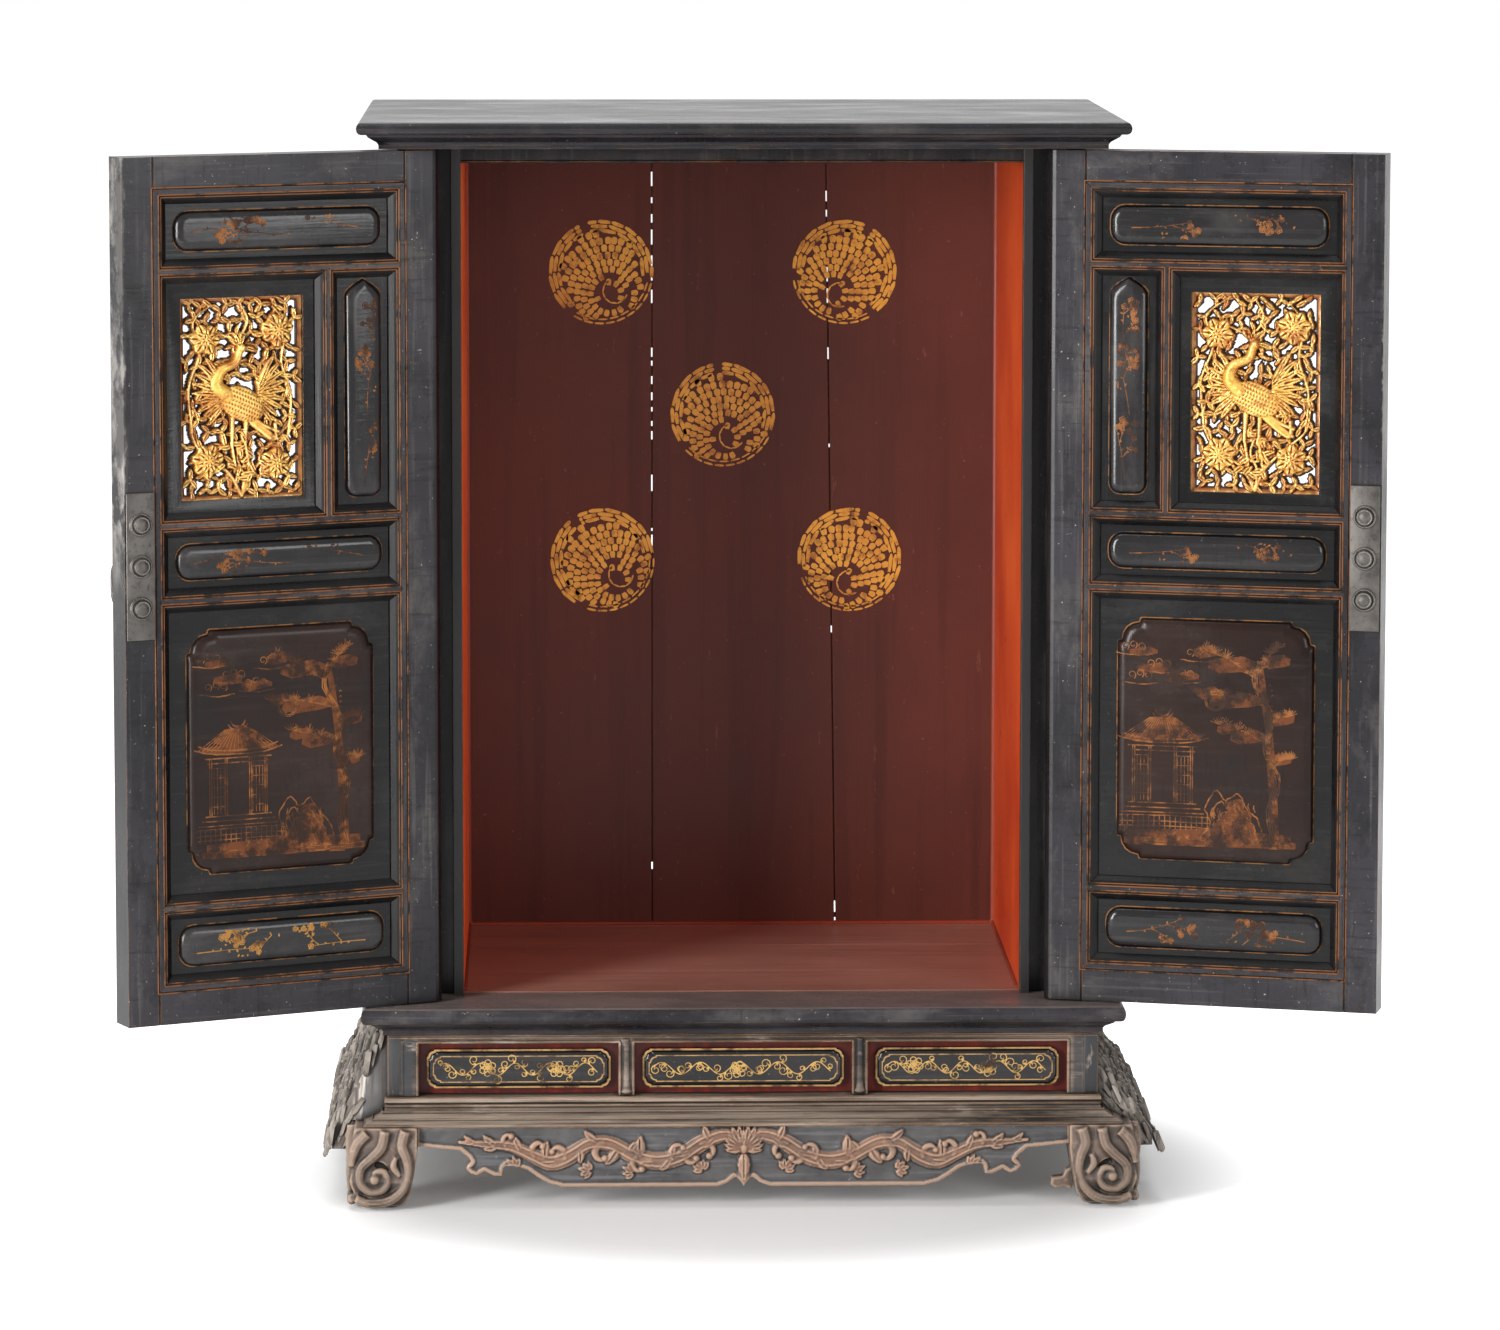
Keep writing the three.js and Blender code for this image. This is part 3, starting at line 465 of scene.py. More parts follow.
# %% [markdown]
# ## Floor, backdrop and light
# Product photographs use a white sweep and large soft boxes. The floor and the world look white to the
# camera only, so that they don't wash the black lacquer out, and the lamps stay at a level at which a
# colour renders about as it is written.

# %% Floor, world and lamps
def rays_that_see_white(tree):
    """1 for rays that come straight from the camera, a mirror or a glass."""
    rays = add_node(tree, "LightPath", {})
    seen = rays["Is Camera Ray"]
    for other in ("Is Glossy Ray", "Is Transmission Ray"):
        seen = add_node(tree, "Math", {0: seen, 1: rays[other]}, operation="MAXIMUM")[0]
    return seen


white = (1, 1, 1, 1)
world = bpy.data.worlds.new("studio")
bpy.context.scene.world = world
world.use_nodes = True
room = world.node_tree
room_light = room.nodes["Background"]
room_light.inputs["Color"].default_value = white
room_light.inputs["Strength"].default_value = 0.17
shown = add_node(room, "Background", {"Color": white})[0]
seen_room = add_node(room, "MixShader", {0: rays_that_see_white(room), 1: room_light.outputs[0], 2: shown})[0]
room.links.new(seen_room, room.nodes["World Output"].inputs[0])

# the floor glows a little for the camera: with the lamps it is white, and its shadow stays pale
floor = start("studio_floor", bpy.ops.mesh.primitive_plane_add, size=40)
paper = Bench("paper floor", 1.0, shine=0.0)
away = paper.node("VectorMath", {0: paper.place}, operation="LENGTH")["Value"]
fade = {"Value": away, "From Min": 0.31, "From Max": 0.55, "To Min": 0.08, "To Max": 1.0}
faded = paper.node("MapRange", fade, interpolation_type="SMOOTHSTEP")["Result"]
glow = paper.times(rays_that_see_white(paper.tree), faded)
paper_settings = {"Base Color": (0.9, 0.9, 0.9, 1), "Emission Color": white, "Emission Strength": glow}
for key, value in paper_settings.items():
    plug(paper.tree, value, paper.shader[key])
floor.data.materials.append(paper.material)

# name, place, the point it looks at, width, height and power of each lamp
for name, place, aim, wide, high, power in (
    ("left soft box", (-2.6, -2.5, 1.05), (0, 0, 0.6), 0.9, 1.9, 158),
    ("right soft box", (2.3, -2.9, 1.2), (0, 0, 0.42), 1.2, 1.2, 34),
    ("top soft box", (-0.3, 0.5, 3.0), (0, 0, 0.3), 3.0, 2.0, 74),
):
    light = bpy.data.lights.new(name, "AREA")
    light.shape = "RECTANGLE"
    light.size, light.size_y, light.energy = wide, high, power
    lamp = new_object(name, light)
    lamp.location = place
    lamp.rotation_euler = (Vector(aim) - Vector(place)).to_track_quat("-Z", "Y").to_euler()

# %% [markdown]
# ## Old black lacquer
# Real lacquer of this age is not plain black: it is a deep brown-black with a grey bloom, fine
# cracks that run across the grain, rubbed patches, and arrises worn through to reddish-gold wood.
# The bloom and the cracks are stretched noises; the worn arrises come from a rounded normal.

# %% Lacquer recipe
upright_grain = (1, 1, 0.035)
level_grain = (0.035, 1, 1)


def eased(grain, least):
    """A grain that is stretched less than the boards' own."""
    return tuple(least + (1 - least) * g for g in grain)


def black_lacquer(name, grain, turn=0, origin=(0, 0, 0), deep="#212024", pale="#3b393d", bloom=0.5,
                  gloss=0.22, shine=0.16, chipped=None, face_at=None, dust=0.0, depth=0.3 * MM):
    """Black under a pale bloom, with painted shade that makes the grooves deep black. gloss is the roughness
    where it is whole, chipped the distance from the hinge edge beyond which it is worn to its pale ground,
    face_at the depth of the flat face, below which the mouldings are painted blacker as shade, and dust
    how much the faces that look up are painted paler, as dust and as painted light on the tops."""
    f = Bench(name, gloss, turn, origin, shine)
    cloud = f.noise(6, 5)
    streak = f.noise(260, 3, grain)
    craze = f.noise(230, 4, (0.1, 0.1, 1) if grain[2] < 1 else (1, 1, 0.1), shift=3.1, rough=0.7)
    speck = f.noise(380, 3, shift=7.3)
    patch = f.noise(15, 7, eased(grain, 0.5), 0.7, 1.7)
    rub = f.noise(30, 6, shift=5, rough=0.7)
    normal = f.soft_normal(0.8 * MM)
    f.base = f.blend(cloud, deep, pale, 0.35, 0.7)
    f.coat("#6b6764", streak, 0.55, 0.75, 0.7 * bloom)
    f.coat("#6f6a66", patch, 0.52, 0.74, 1.1 * bloom)
    f.coat("#171616", patch, 0.46, 0.34, 0.8)
    f.coat("#100f0f", craze, 0.55, 0.68, 0.5)
    f.coat("#b0a59a", speck, 0.70, 0.75, 1.5 * bloom)
    worn = f.times(f.arris(normal, 0.97, 0.84), f.range(rub, 0.42, 0.52, 0.05, 0.9))
    f.lay(f.blend(rub, "#8a5230", "#c08a4a", 0.45, 0.7), worn)
    # painted shade: the grooves and hollows turn near black
    f.lay("#080707", f.painted_shade_in_hollows(15 * MM), 0.95)
    # painted shade: below the flat face the mouldings are painted near black
    if face_at:
        f.coat("#0b0a0a", f.math("ABSOLUTE", f.axis("Y")), face_at - 0.7 * MM, face_at - 0.3 * MM, 0, 0.82)
    if chipped:
        square = f.plus(f.math("POWER", f.axis("X"), 2.0), f.math("POWER", f.axis("Y"), 2.0))
        reach = f.plus(f.math("SQRT", square), f.range(rub, 0.3, 0.7, -3 * MM, 3 * MM))
        bared = f.times(f.range(reach, chipped, chipped + 1.5 * MM, 0, 0.8), f.range(f.axis("Z"), 0.3, 0.46))
        f.lay(f.blend(patch, "#4b4846", "#b1aca7", 0.42, 0.6), bared)
    # faces that look up are painted paler: dust, and painted light on the tops
    if dust:
        upward = f.node("SeparateXYZ", {"Vector": f.node("NewGeometry")["Normal"]})["Z"]
        f.lay("#8d807b", f.times(f.range(upward, 0.7, 0.95), f.range(patch, 0.3, 0.6, dust, 0.4 * dust)))
    uneven = f.plus(f.plus(f.times(streak, 0.4), f.times(craze, 0.6)), f.times(patch, 0.8))
    return f.done((patch, 0.35, 0.75, gloss, gloss + 0.24), uneven, depth, normal)


print("lacquer recipe ready")

# %% Mix the black lacquers
slab_look = {"deep": "#0e0e11", "pale": "#222126", "bloom": 0.3, "gloss": 0.2, "shine": 0.24}
panel_look = {"deep": "#0e0c0d", "pale": "#201d1f", "bloom": 0.22, "gloss": 0.08, "shine": 0.3}
part_looks = {
    "panel": panel_look,
    "board": {"deep": "#070707", "pale": "#131213", "bloom": 0.12, "gloss": 0.12, "shine": 0.2},
    "picture": {"deep": "#1b0f0b", "pale": "#2f1d16", "bloom": 0.08, "gloss": 0.12, "shine": 0.16},
    "edge": {"face_at": door_half},
}
chipped_from = {"left": 281.8 * MM, "right": 283.4 * MM}
roof_lacquer = black_lacquer("roof slab lacquer, level grain", level_grain, depth=0.08 * MM, **slab_look)
# the floor slab's tops are painted paler: dust, and painted light
floor_lacquer = black_lacquer("floor slab lacquer, level grain", level_grain, bloom=0.6, dust=0.9)
niche_edge_lacquer = black_lacquer(
    "post lacquer, upright grain", upright_grain, deep="#151314", pale="#2d2a2b", bloom=0.3)
door_finish = {}
for side in hang:
    for way, grain in (("upright", upright_grain), ("level", level_grain)):
        for part, look in part_looks.items():
            door_finish[side, way, part] = black_lacquer(
                f"{side} door {part} lacquer, {way} grain", grain, **square_on[side], **look,
                chipped=chipped_from[side] if part == "edge" else None)
print("lacquers:", [material.name for material in bpy.data.materials])

# %% Recipes of red lacquer and weathered wood
def red_lacquer(name, dark, light, black_edge=False):
    """Lacquer of a niche board; its front edge is black, as the frame of the niche is."""
    f = Bench(name, 0.45, shine=0.3)
    cloud = f.noise(5, 4)
    streak = f.noise(120, 3, upright_grain)
    chip = f.noise(60, 6, shift=2.2)
    normal = f.soft_normal(1.2 * MM)
    f.base = f.blend(cloud, dark, light)
    f.coat("#9a2a12", streak, 0.5, 0.8, 0.5)
    f.coat("#4a1a10", chip, 0.66, 0.72, 0.9)
    if black_edge:
        edge_y = f.plus(f.axis("Y"), f.times(chip, 4 * MM))
        f.coat("#211f1f", edge_y, niche_front + 3 * MM, niche_front + 2 * MM)
    f.lay("#8a6a50", f.times(f.arris(normal), f.range(chip, 0.4, 0.6, 0.2, 1.0)), 0.7)
    return f.done((cloud, 0.3, 0.7, 0.36, 0.6), f.plus(streak, chip), 0.4 * MM, normal)


def weathered_wood(name, grain, dark="#2c2725", light="#a19082", lacquer=0.5, ends=None):
    """Grey-brown wood under the rest of its black lacquer, which is whole again beyond ends."""
    f = Bench(name, 0.55, shine=0.35)
    cloud = f.noise(12, 6, eased(grain, 0.25), 0.65)
    streak = f.noise(190, 5, grain, 0.6)
    dust = f.noise(75, 7, eased(grain, 0.2), shift=1.3, rough=0.75)
    normal = f.soft_normal(1.3 * MM)
    f.base = f.blend(streak, "#5d5048", light, 0.38, 0.66)
    f.coat(dark, cloud, lacquer - 0.06, lacquer + 0.08)
    f.coat("#1f1b1a", streak, 0.56, 0.68, 0.7)
    f.coat("#b5aaa0", dust, 0.56, 0.68, 0.75)
    if ends:
        kept = f.range(f.math("ABSOLUTE", f.axis("X")), ends - 2 * MM, ends + 2 * MM, 0, 0.85)
        f.lay("#303235", f.times(kept, f.range(dust, 0.66, 0.52)))
    f.lay("#c0946a", f.times(f.arris(normal), f.range(dust, 0.38, 0.52, 0.3, 1.0)), 0.9)
    # painted shade: darker in the grooves and hollows
    f.lay("#110e0d", f.painted_shade_in_hollows(8 * MM), 0.85)
    return f.done((dust, 0.3, 0.7, 0.36, 0.75), f.plus(streak, dust), 0.6 * MM, normal)


print("two more recipes ready")

# %% Mix the reds and the weathered woods
# one vermilion in two copies: the left lining's is painted lighter, against the shade it stands in, and the
# right one's darker, against the lamps that light it
left_vermilion_painted_lighter = red_lacquer("left vermilion lacquer, painted lighter against shade", "#ee4e1e", "#fb8042", True)
right_vermilion_painted_darker = red_lacquer("right vermilion lacquer, painted darker against lamp light", "#a8300f", "#c4501f", True)
dark_red = red_lacquer("dark red lacquer", "#3c110c", "#5e1b12")
fillet_red = red_lacquer("worn fillet red", "#6e2417", "#8c3420")
waist_ends = 277 * MM
waist_finish = weathered_wood("weathered waist wood", level_grain, ends=waist_ends)
flare_finish = weathered_wood("weathered base board", level_grain, light="#b5a696", lacquer=0.55)
slate_posts = weathered_wood("weathered slate corner", upright_grain, lacquer=0.42, ends=waist_ends)
foot_finish = weathered_wood("weathered foot wood", (0.5, 0.5, 0.5), "#3a302a", "#8a7360")

print("finishes:", len(bpy.data.materials))

# %% Maroon lacquer of the back wall
f = Bench("maroon lacquer, upright grain", 0.5, shine=0.18)
cloud = f.noise(4, 5)
brushed = f.noise(70, 4, upright_grain)
scratch = f.noise(120, 5, (1, 1, 0.3), shift=8, rough=0.7)
normal = f.soft_normal(1.0 * MM)
f.base = f.blend(cloud, "#4b231c", "#603127")
f.coat("#2c120e", brushed, 0.5, 0.8, 0.45)
f.coat("#8a5747", scratch, 0.66, 0.72, 0.5)
f.coat("#9a6c5c", f.noise(300, 2, shift=9), 0.72, 0.78, 0.5)
f.lay("#8d5b46", f.arris(normal), 0.5)
# the outside of the back was never painted
bare = f.blend(brushed, "#2f2621", "#5b4b40", 0.35, 0.65)
bare = f.mix(f.range(scratch, 0.6, 0.7, 0, 0.5), bare, "#7d6d60")
f.coat(bare, f.axis("Y"), 243.5 * MM, 244.3 * MM)
dented = f.plus(f.times(brushed, 0.5), f.noise(26, 3, shift=4.4))
maroon_walls = f.done((cloud, 0.3, 0.7, 0.34, 0.5), dented, 0.5 * MM, normal)
print("finishes:", len(bpy.data.materials))

# %% Bare wood of the flanks, and iron
f = Bench("raw splintered wood", 0.8)
streak = f.noise(240, 4, (1, 1, 0.06))
cloud = f.noise(30, 5)
# only the left flank has a pale strip, and it widens a little downwards
out = f.math("SUBTRACT", f.times(f.axis("Z"), 0.15), f.axis("X"))
out = f.plus(out, f.range(streak, 0.3, 0.7, -3 * MM, 3 * MM))
grey_share = f.math("MAXIMUM", f.range(out, 337 * MM, 340 * MM), f.range(f.axis("X"), -0.25, -0.2))
f.base = f.mix(grey_share, f.blend(cloud, "#b9aca0", "#ece6de"), f.blend(cloud, "#4a433e", "#9a9087"))
# beside the waist its face still has slate-black lacquer
lacquered = f.times(f.range(out, 333 * MM, 331 * MM, 0, 0.9), f.range(f.axis("X"), -0.2, -0.25))
f.lay(f.blend(cloud, "#35373a", "#5b5d60"), lacquered)
f.coat("#5b5049", streak, 0.52, 0.70, 0.85)
# painted shade: darker in the grooves and hollows
f.lay("#1c1815", f.painted_shade_in_hollows(9 * MM))
bare_wood = f.done(None, f.plus(streak, cloud), 0.8 * MM)

f = Bench("old iron", 0.45, metal=0.7)
mottle = f.noise(60, 6, rough=0.65)
pit = f.noise(240, 3, shift=2.7)
normal = f.soft_normal(0.8 * MM)
f.base = f.blend(mottle, "#3d3a38", "#625e5a")
f.coat("#2e2927", pit, 0.56, 0.72, 0.7)
f.lay("#a8a298", f.arris(normal), 0.5)
iron = f.done((mottle, 0.3, 0.7, 0.34, 0.6), f.plus(mottle, pit), 0.3 * MM, normal)
print("bare wood and iron ready")

# %% [markdown]
# ## Dress the CAD nodes
# A board whose shape is already right keeps its CAD mesh and only gets its finish. Level boards take
# the level grain and posts the upright one, as the joiner would cut them.

# %% Give each CAD node its finish
def dress(node, material):
    mesh = frame["nodes"][node].data
    mesh.materials.clear()
    mesh.materials.append(material)


for material, nodes in (
    (roof_lacquer, "top_slab"),
    (floor_lacquer, "floor_slab"),
    (niche_edge_lacquer, "head_rail left_post right_post left_side_board right_side_board"),
    (left_vermilion_painted_lighter, "left_lining"),
    (right_vermilion_painted_darker, "right_lining"),
    (dark_red, "waist_ground"),
    (maroon_walls, "left_back_board middle_back_board right_back_board"),
    (flare_finish, "base_board"),
    (waist_finish, "waist_frame waist_back"),
    (floor_lacquer, "left_cartouche middle_cartouche right_cartouche"),
    (foot_finish, "left_front_leg right_front_leg left_rear_leg right_rear_leg front_apron"),
    (bare_wood, "left_flank right_flank"),
):
    for node in nodes.split():
        dress(node, material)
upright_members = ("hinge_stile", "meeting_stile", "muntin", "narrow_panel")
for node in frame["nodes"]:
    side, door, member = node.partition("_door_")
    if door:
        way = "upright" if member in upright_members else "level"
        part = "board" if member.endswith(("panel", "carving")) else "edge"
        dress(node, iron if member.endswith("lock_plate") else door_finish[side, way, part])
print("dressed", len(frame["nodes"]), "nodes")

# %% [markdown]
# ## Raised fields
# Each door panel is a thin board with a raised field whose rim is turned over like a cushion, with a
# thin gold line at its foot. A plain bevel would leave a hard step, so the rim is stepped in along a
# quarter ellipse. Each field is modelled once and copied to both faces of both doors, a hair larger
# than the plain field of the CAD board that it covers.

# %% Outlines of the fields
def rounded_outline(u0, u1, v0, v1, corner, steps=5):
    points = []
    corners = [(u1, v1, 1, 1), (u0, v1, -1, 1), (u0, v0, -1, -1), (u1, v0, 1, -1)]
    for quarter, (u, v, side_u, side_v) in enumerate(corners):
        for step in range(steps + 1):
            turn = (quarter + step / steps) * math.pi / 2
            points.append((u + corner * (math.cos(turn) - side_u), v + corner * (math.sin(turn) - side_v)))
    return points


# from a straight edge: a small step inwards, then a quarter round that bulges into the corner
bracket_shares = [
    (1, 0), (0.86, 0.0), (0.80, 0.04), (0.78, 0.15), (0.70, 0.17), (0.522, 0.213), (0.337, 0.337),
    (0.213, 0.522), (0.17, 0.70), (0.15, 0.78), (0.04, 0.80), (0.0, 0.86), (0, 1),
]


def bracket_outline(u0, u1, v0, v1, corner):
    """A rectangle whose corners are cut like brackets: a bulge between two cusps."""
    points = []
    for u, v, into_u, into_v in ((u1, v1, -1, -1), (u0, v1, 1, -1), (u0, v0, 1, 1), (u1, v0, -1, 1)):
        shares = bracket_shares if into_u != into_v else bracket_shares[::-1]
        points += [(u + into_u * corner * a, v + into_v * corner * b) for a, b in shares]
    return points


def spire_outline(u0, u1, v0, v1, corner, spire):
    """A tall field with round corners at its foot and a spire at its head."""
    middle, half = (u0 + u1) / 2, (u1 - u0) / 2
    shares = [(1, 0), (0.84, 0.3), (0.52, 0.62), (0.2, 0.86)]
    rise = [(middle + half * a, v1 - spire + spire * b) for a, b in shares]
    fall = [(2 * middle - u, v) for u, v in rise[::-1]]
    foot = rounded_outline(u0, u1, v0, v1, corner)
    return rise + [(middle, v1)] + fall + foot[len(foot) // 2:]


print("corner points of a bracket outline:", len(bracket_outline(0, 100, 0, 50, 8)))

# %% Where the fields lie
openings = {
    "frieze": (46, 243, 630, 675),
    "narrow": (46, 92, 422, 610),
    "middle": (46, 243, 360, 402),
    "picture": (46, 243, 106, 340),
    "foot": (46, 243, 40, 86),
}
fields = {}
for panel, (u0, u1, v0, v1) in openings.items():
    side_margin, foot_margin = (16, 16) if panel == "picture" else (7.5, 6.5)
    head_margin = 1.2 if panel == "narrow" else foot_margin
    fields[panel] = (u0 + side_margin, u1 - side_margin, v0 + foot_margin, v1 - head_margin)


def field_outline(panel, grow):
    u0, u1, v0, v1 = fields[panel]
    sides = (u0 - grow, u1 + grow, v0 - grow, v1 + grow)
    if panel == "picture":
        outline = bracket_outline(*sides, 24)
    elif panel == "narrow":
        outline = spire_outline(*sides, max(1.0, 9 + grow), 13)
    else:
        outline = rounded_outline(*sides, max(1.0, 12 + grow))
    return [(u * MM, v * MM) for u, v in outline]


print("fields:", {panel: [round(x, 1) for x in box] for panel, box in fields.items()})

# %% Turn the rims and copy the fields to both doors
def gold_line(name, gold, worn, share, turn=0, origin=(0, 0, 0)):
    """A thin painted line, rubbed away here and there."""
    f = Bench(name, 0.45, turn, origin, 0.15)
    rub = f.noise(55, 6, rough=0.7)
    f.base = f.blend(rub, worn, gold, share, share + 0.12)
    return f.done((rub, 0.3, 0.7, 0.5, 0.35), f.noise(300, 3, shift=2), 0.2 * MM)


brown_line = gold_line("worn brown line", "#8a5e36", "#2a2320", 0.44)
# the CAD field of the picture panel has other corners, so its panel gets a board of its own
u0, u1, v0, v1 = openings["picture"]
picture_board = drawn_plate("picture_board", rectangle(u0 - 3, u1 + 3, v0 - 3, v1 + 3), 14 * MM)
picture_board.data.transform(at(0, 0, -7))
for side in hang:
    board = copy_to(picture_board, side + "_picture_board", on_door[side])
    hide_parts(side + "_door_picture_panel")
    settle(board, side + "_door", "black_lacquer", door_finish[side, "level", "board"])
discard(picture_board)

ground_face = 6.9
line_grow = 1.3
cushion_rim = [(0, 0.3, 0), (0.9, 0.01, 1), (0.02, 0.7, 0)] + round_over(7.4, 5.4, 7) + [(0.3, 0.01, 0)]
field_top = (ground_face + sum(upward for _, upward, _ in cushion_rim)) * MM
for panel in fields:
    field = ringed_plate(panel + "_field", lambda inset: field_outline(panel, line_grow - inset), cushion_rim)
    field.data.transform(at(0, 0, ground_face))
    way = "upright" if panel == "narrow" else "level"
    for side, face, place in door_faces:
        piece = copy_to(field, f"{side}_{panel}_{face}_field", place)
        finish = door_finish[side, way, "picture" if panel == "picture" else "panel"]
        settle(piece, side + "_door", "black_lacquer", finish, brown_line, angle=50)
    discard(field)
print("fields on each face:", len(fields))

# %% [markdown]
# ## Gold beads on the door mouldings
# Each opening's moulding is lined with thin gilt beads, worn to brown: one on the flat face and one on
# the crest beyond the groove. A wider ring runs round all openings together. They are straight strokes
# with a round section, half sunk, as run beads are.

# %% Draw the beads
door_openings = dict(openings, carving=(112, 243, 422, 610), all=(46, 243, 40, 675))
bead_rows = [(8.0, 13.95, 0.62), (5.9, 13.35, 0.55)]
around_all = [(13.9, 13.95, 0.62)]
bead_lines = []
for opening, (u0, u1, v0, v1) in door_openings.items():
    for away, w, share in around_all if opening == "all" else bead_rows:
        corners = rectangle(u0 - away, u1 + away, v0 - away, v1 + away)
        for start_at, end_at in zip(corners, corners[1:] + corners[:1]):
            bead_lines.append([(*place, w * MM, share) for place in (start_at, end_at)])
beads = line_work("beads", bead_lines, 0.95 * MM, flat=0.7)
worn_gold = {}
for side in hang:
    worn_gold[side] = gold_line(side + " door worn gold beads", "#7a4e2e", "#241a14", 0.40, **square_on[side])
for side, face, place in door_faces:
    piece = copy_to(beads, f"{side}_{face}_moulding_beads", place)
    settle(piece, side + "_door", "gilt", worn_gold[side], angle=60)
discard(beads)
print("beads on each face:", len(bead_lines))

# %% [markdown]
# ## Splayed frames round the carvings
# The pierced carving sits at the bottom of a shallow funnel: a black frame whose four splays slope
# down to the gilding. An inset keeps one margin all round, and these margins are uneven, so each loop
# of four corners is drawn at its own height and the loops are bridged into a closed frame.

# %% Cut the splayed frame
sight = (121, 229, 431, 597)
board_edge = (109, 246, 419, 613)
splay_edge = door_openings["carving"]
splay_foot = 4.2


def frame_ring(name, loops):
    """Loops of four corners, each with its height, are bridged one to the next into a closed frame."""
    piece = start(name, bpy.ops.mesh.primitive_circle_add, vertices=4)
    bpy.ops.object.mode_set(mode="EDIT")
    for _ in loops[1:]:
        bpy.ops.mesh.primitive_circle_add(vertices=4)
    bpy.ops.object.mode_set(mode="OBJECT")
    for k, (box, w) in enumerate(loops):
        for point, place in zip(piece.data.vertices[4 * k:4 * k + 4], rectangle(*box)):
            point.co = (*place, w * MM)
    bpy.ops.object.mode_set(mode="EDIT")
    for k in range(len(loops)):
        pair = (k, (k + 1) % len(loops))
        pick("EDGE", lambda edge: edge.verts[0].index // 4 == edge.verts[1].index // 4
             and edge.verts[0].index // 4 in pair)
        bpy.ops.mesh.bridge_edge_loops()
    close_up()
    return piece


front_loops = [(board_edge, 7), (splay_edge, 7), (sight, splay_foot)]
splayed = frame_ring("splayed_frame", front_loops + [(box, -w) for box, w in front_loops[::-1]])
for side in hang:
    piece = copy_to(splayed, side + "_carving_frame", on_door[side])
    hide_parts(side + "_door_carving")
    settle(piece, side + "_door", "black_lacquer", door_finish[side, "level", "board"], angle=30)
discard(splayed)
print("frames round the carvings: 2")

# %% [markdown]
# ## The pierced gilt carvings
# The carver saws out the gaps between bird, branches and blossoms, then rounds what is left. A board
# of small squares does the same here: each leaf, petal and feather raises the squares under it, and
# squares that nothing covers are cut away. That gives one closed piece with real holes. The birds and
# the foliage are this lesson's own.

# %% The carver's tools
class Carving:
    """A board of small squares whose heights are raised stroke by stroke."""

    def __init__(self, wide, high, pitch):
        self.columns, self.rows = round(wide / pitch), round(high / pitch)
        across, up = np.linspace(0, wide, self.columns + 1), np.linspace(0, high, self.rows + 1)
        self.u, self.v = np.meshgrid(across, up)
        self.height = np.zeros(self.u.shape)

    def lay(self, where, height):
        self.height = np.maximum(self.height, np.where(where, height, 0))

    def near(self, u, v, angle):
        du, dv = self.u - u, self.v - v
        return du * math.cos(angle) + dv * math.sin(angle), dv * math.cos(angle) - du * math.sin(angle)

    def beside(self, u0, v0, u1, v1):
        """How far along the line from the first point to the second each square is, and how far off it."""
        long = math.hypot(u1 - u0, v1 - v0) + 1e-9
        along, across = self.near(u0, v0, math.atan2(v1 - v0, u1 - u0))
        t = np.clip(along / long, 0, 1)
        return t, np.hypot(along - t * long, across)

    def leaf(self, u, v, angle, long, wide, top, curl=0.0):
        """A pointed leaf that starts at (u, v): full in the middle, with a groove along its rib."""
        along, across = self.near(u, v, angle)
        t = np.clip(along / long, 0, 1)
        across = across - curl * long * t * t
        half = wide / 2 * np.sin(np.pi * t ** 0.8) ** 0.75 + 1e-6
        r = np.abs(across) / half
        body = np.sqrt(np.clip(1 - r * r, 0, 1)) * np.clip(t * 8, 0, 1) * np.clip((1 - t) * 8, 0, 1)
        rib = 1 - 0.28 * np.exp(-(across / 0.55) ** 2)
        self.lay((along > 0) & (along < long), top * (0.45 + 0.55 * body) * (body > 0.02) * rib)

    def dome(self, u, v, radius, top, power=0.5):
        r = np.hypot(self.u - u, self.v - v) / radius
        self.lay(r < 1, top * np.clip(1 - r * r, 0, 1) ** power)

    def branch(self, points, wide, top):
        """A rounded branch through points of (u, v, share of the width)."""
        for (u0, v0, s0), (u1, v1, s1) in zip(points, points[1:]):
            t, off = self.beside(u0, v0, u1, v1)
            away = off / (wide / 2 * (s0 + (s1 - s0) * t))
            self.lay(away < 1, top * (0.4 + 0.6 * np.sqrt(np.clip(1 - away * away, 0, 1))))

    def blossom(self, u, v, radius, petals, top, turn=0.0):
        for k in range(petals):
            angle = turn + k * 2 * math.pi / petals
            self.leaf(u, v, angle, radius, radius * 0.98, top)
            self.leaf(u, v, angle + math.pi / petals, radius * 0.7, radius * 0.62, top + 1.3)
            self.leaf(u, v, angle + 0.2, radius * 0.42, radius * 0.4, top + 2.4)
        self.dome(u, v, radius * 0.24, top + 2.0)

    def wobble(self, scale, seed):
        """A gentle unevenness, as a blade leaves it."""
        places = zip(self.u.flat, self.v.flat)
        field = [noise.noise(Vector((u * scale, v * scale, seed))) for u, v in places]
        return np.array(field).reshape(self.u.shape)


print("board of squares ready")

# %% From the board to a solid
def curve_points(points, steps=8):
    """A smooth line through given points, as a carver would sketch it."""
    rows = [points[0]] + list(points) + [points[-1]]
    line = []
    for group in zip(rows, rows[1:], rows[2:], rows[3:]):
        for step in range(steps):
            t = step / steps
            line.append(tuple(
                0.5 * (2 * q + (r - p) * t + (2 * p - 5 * q + 4 * r - s) * t * t
                       + (3 * q - p - 3 * r + s) * t ** 3)
                for p, q, r, s in zip(*group)
            ))
    line.append(tuple(points[-1]))
    return line


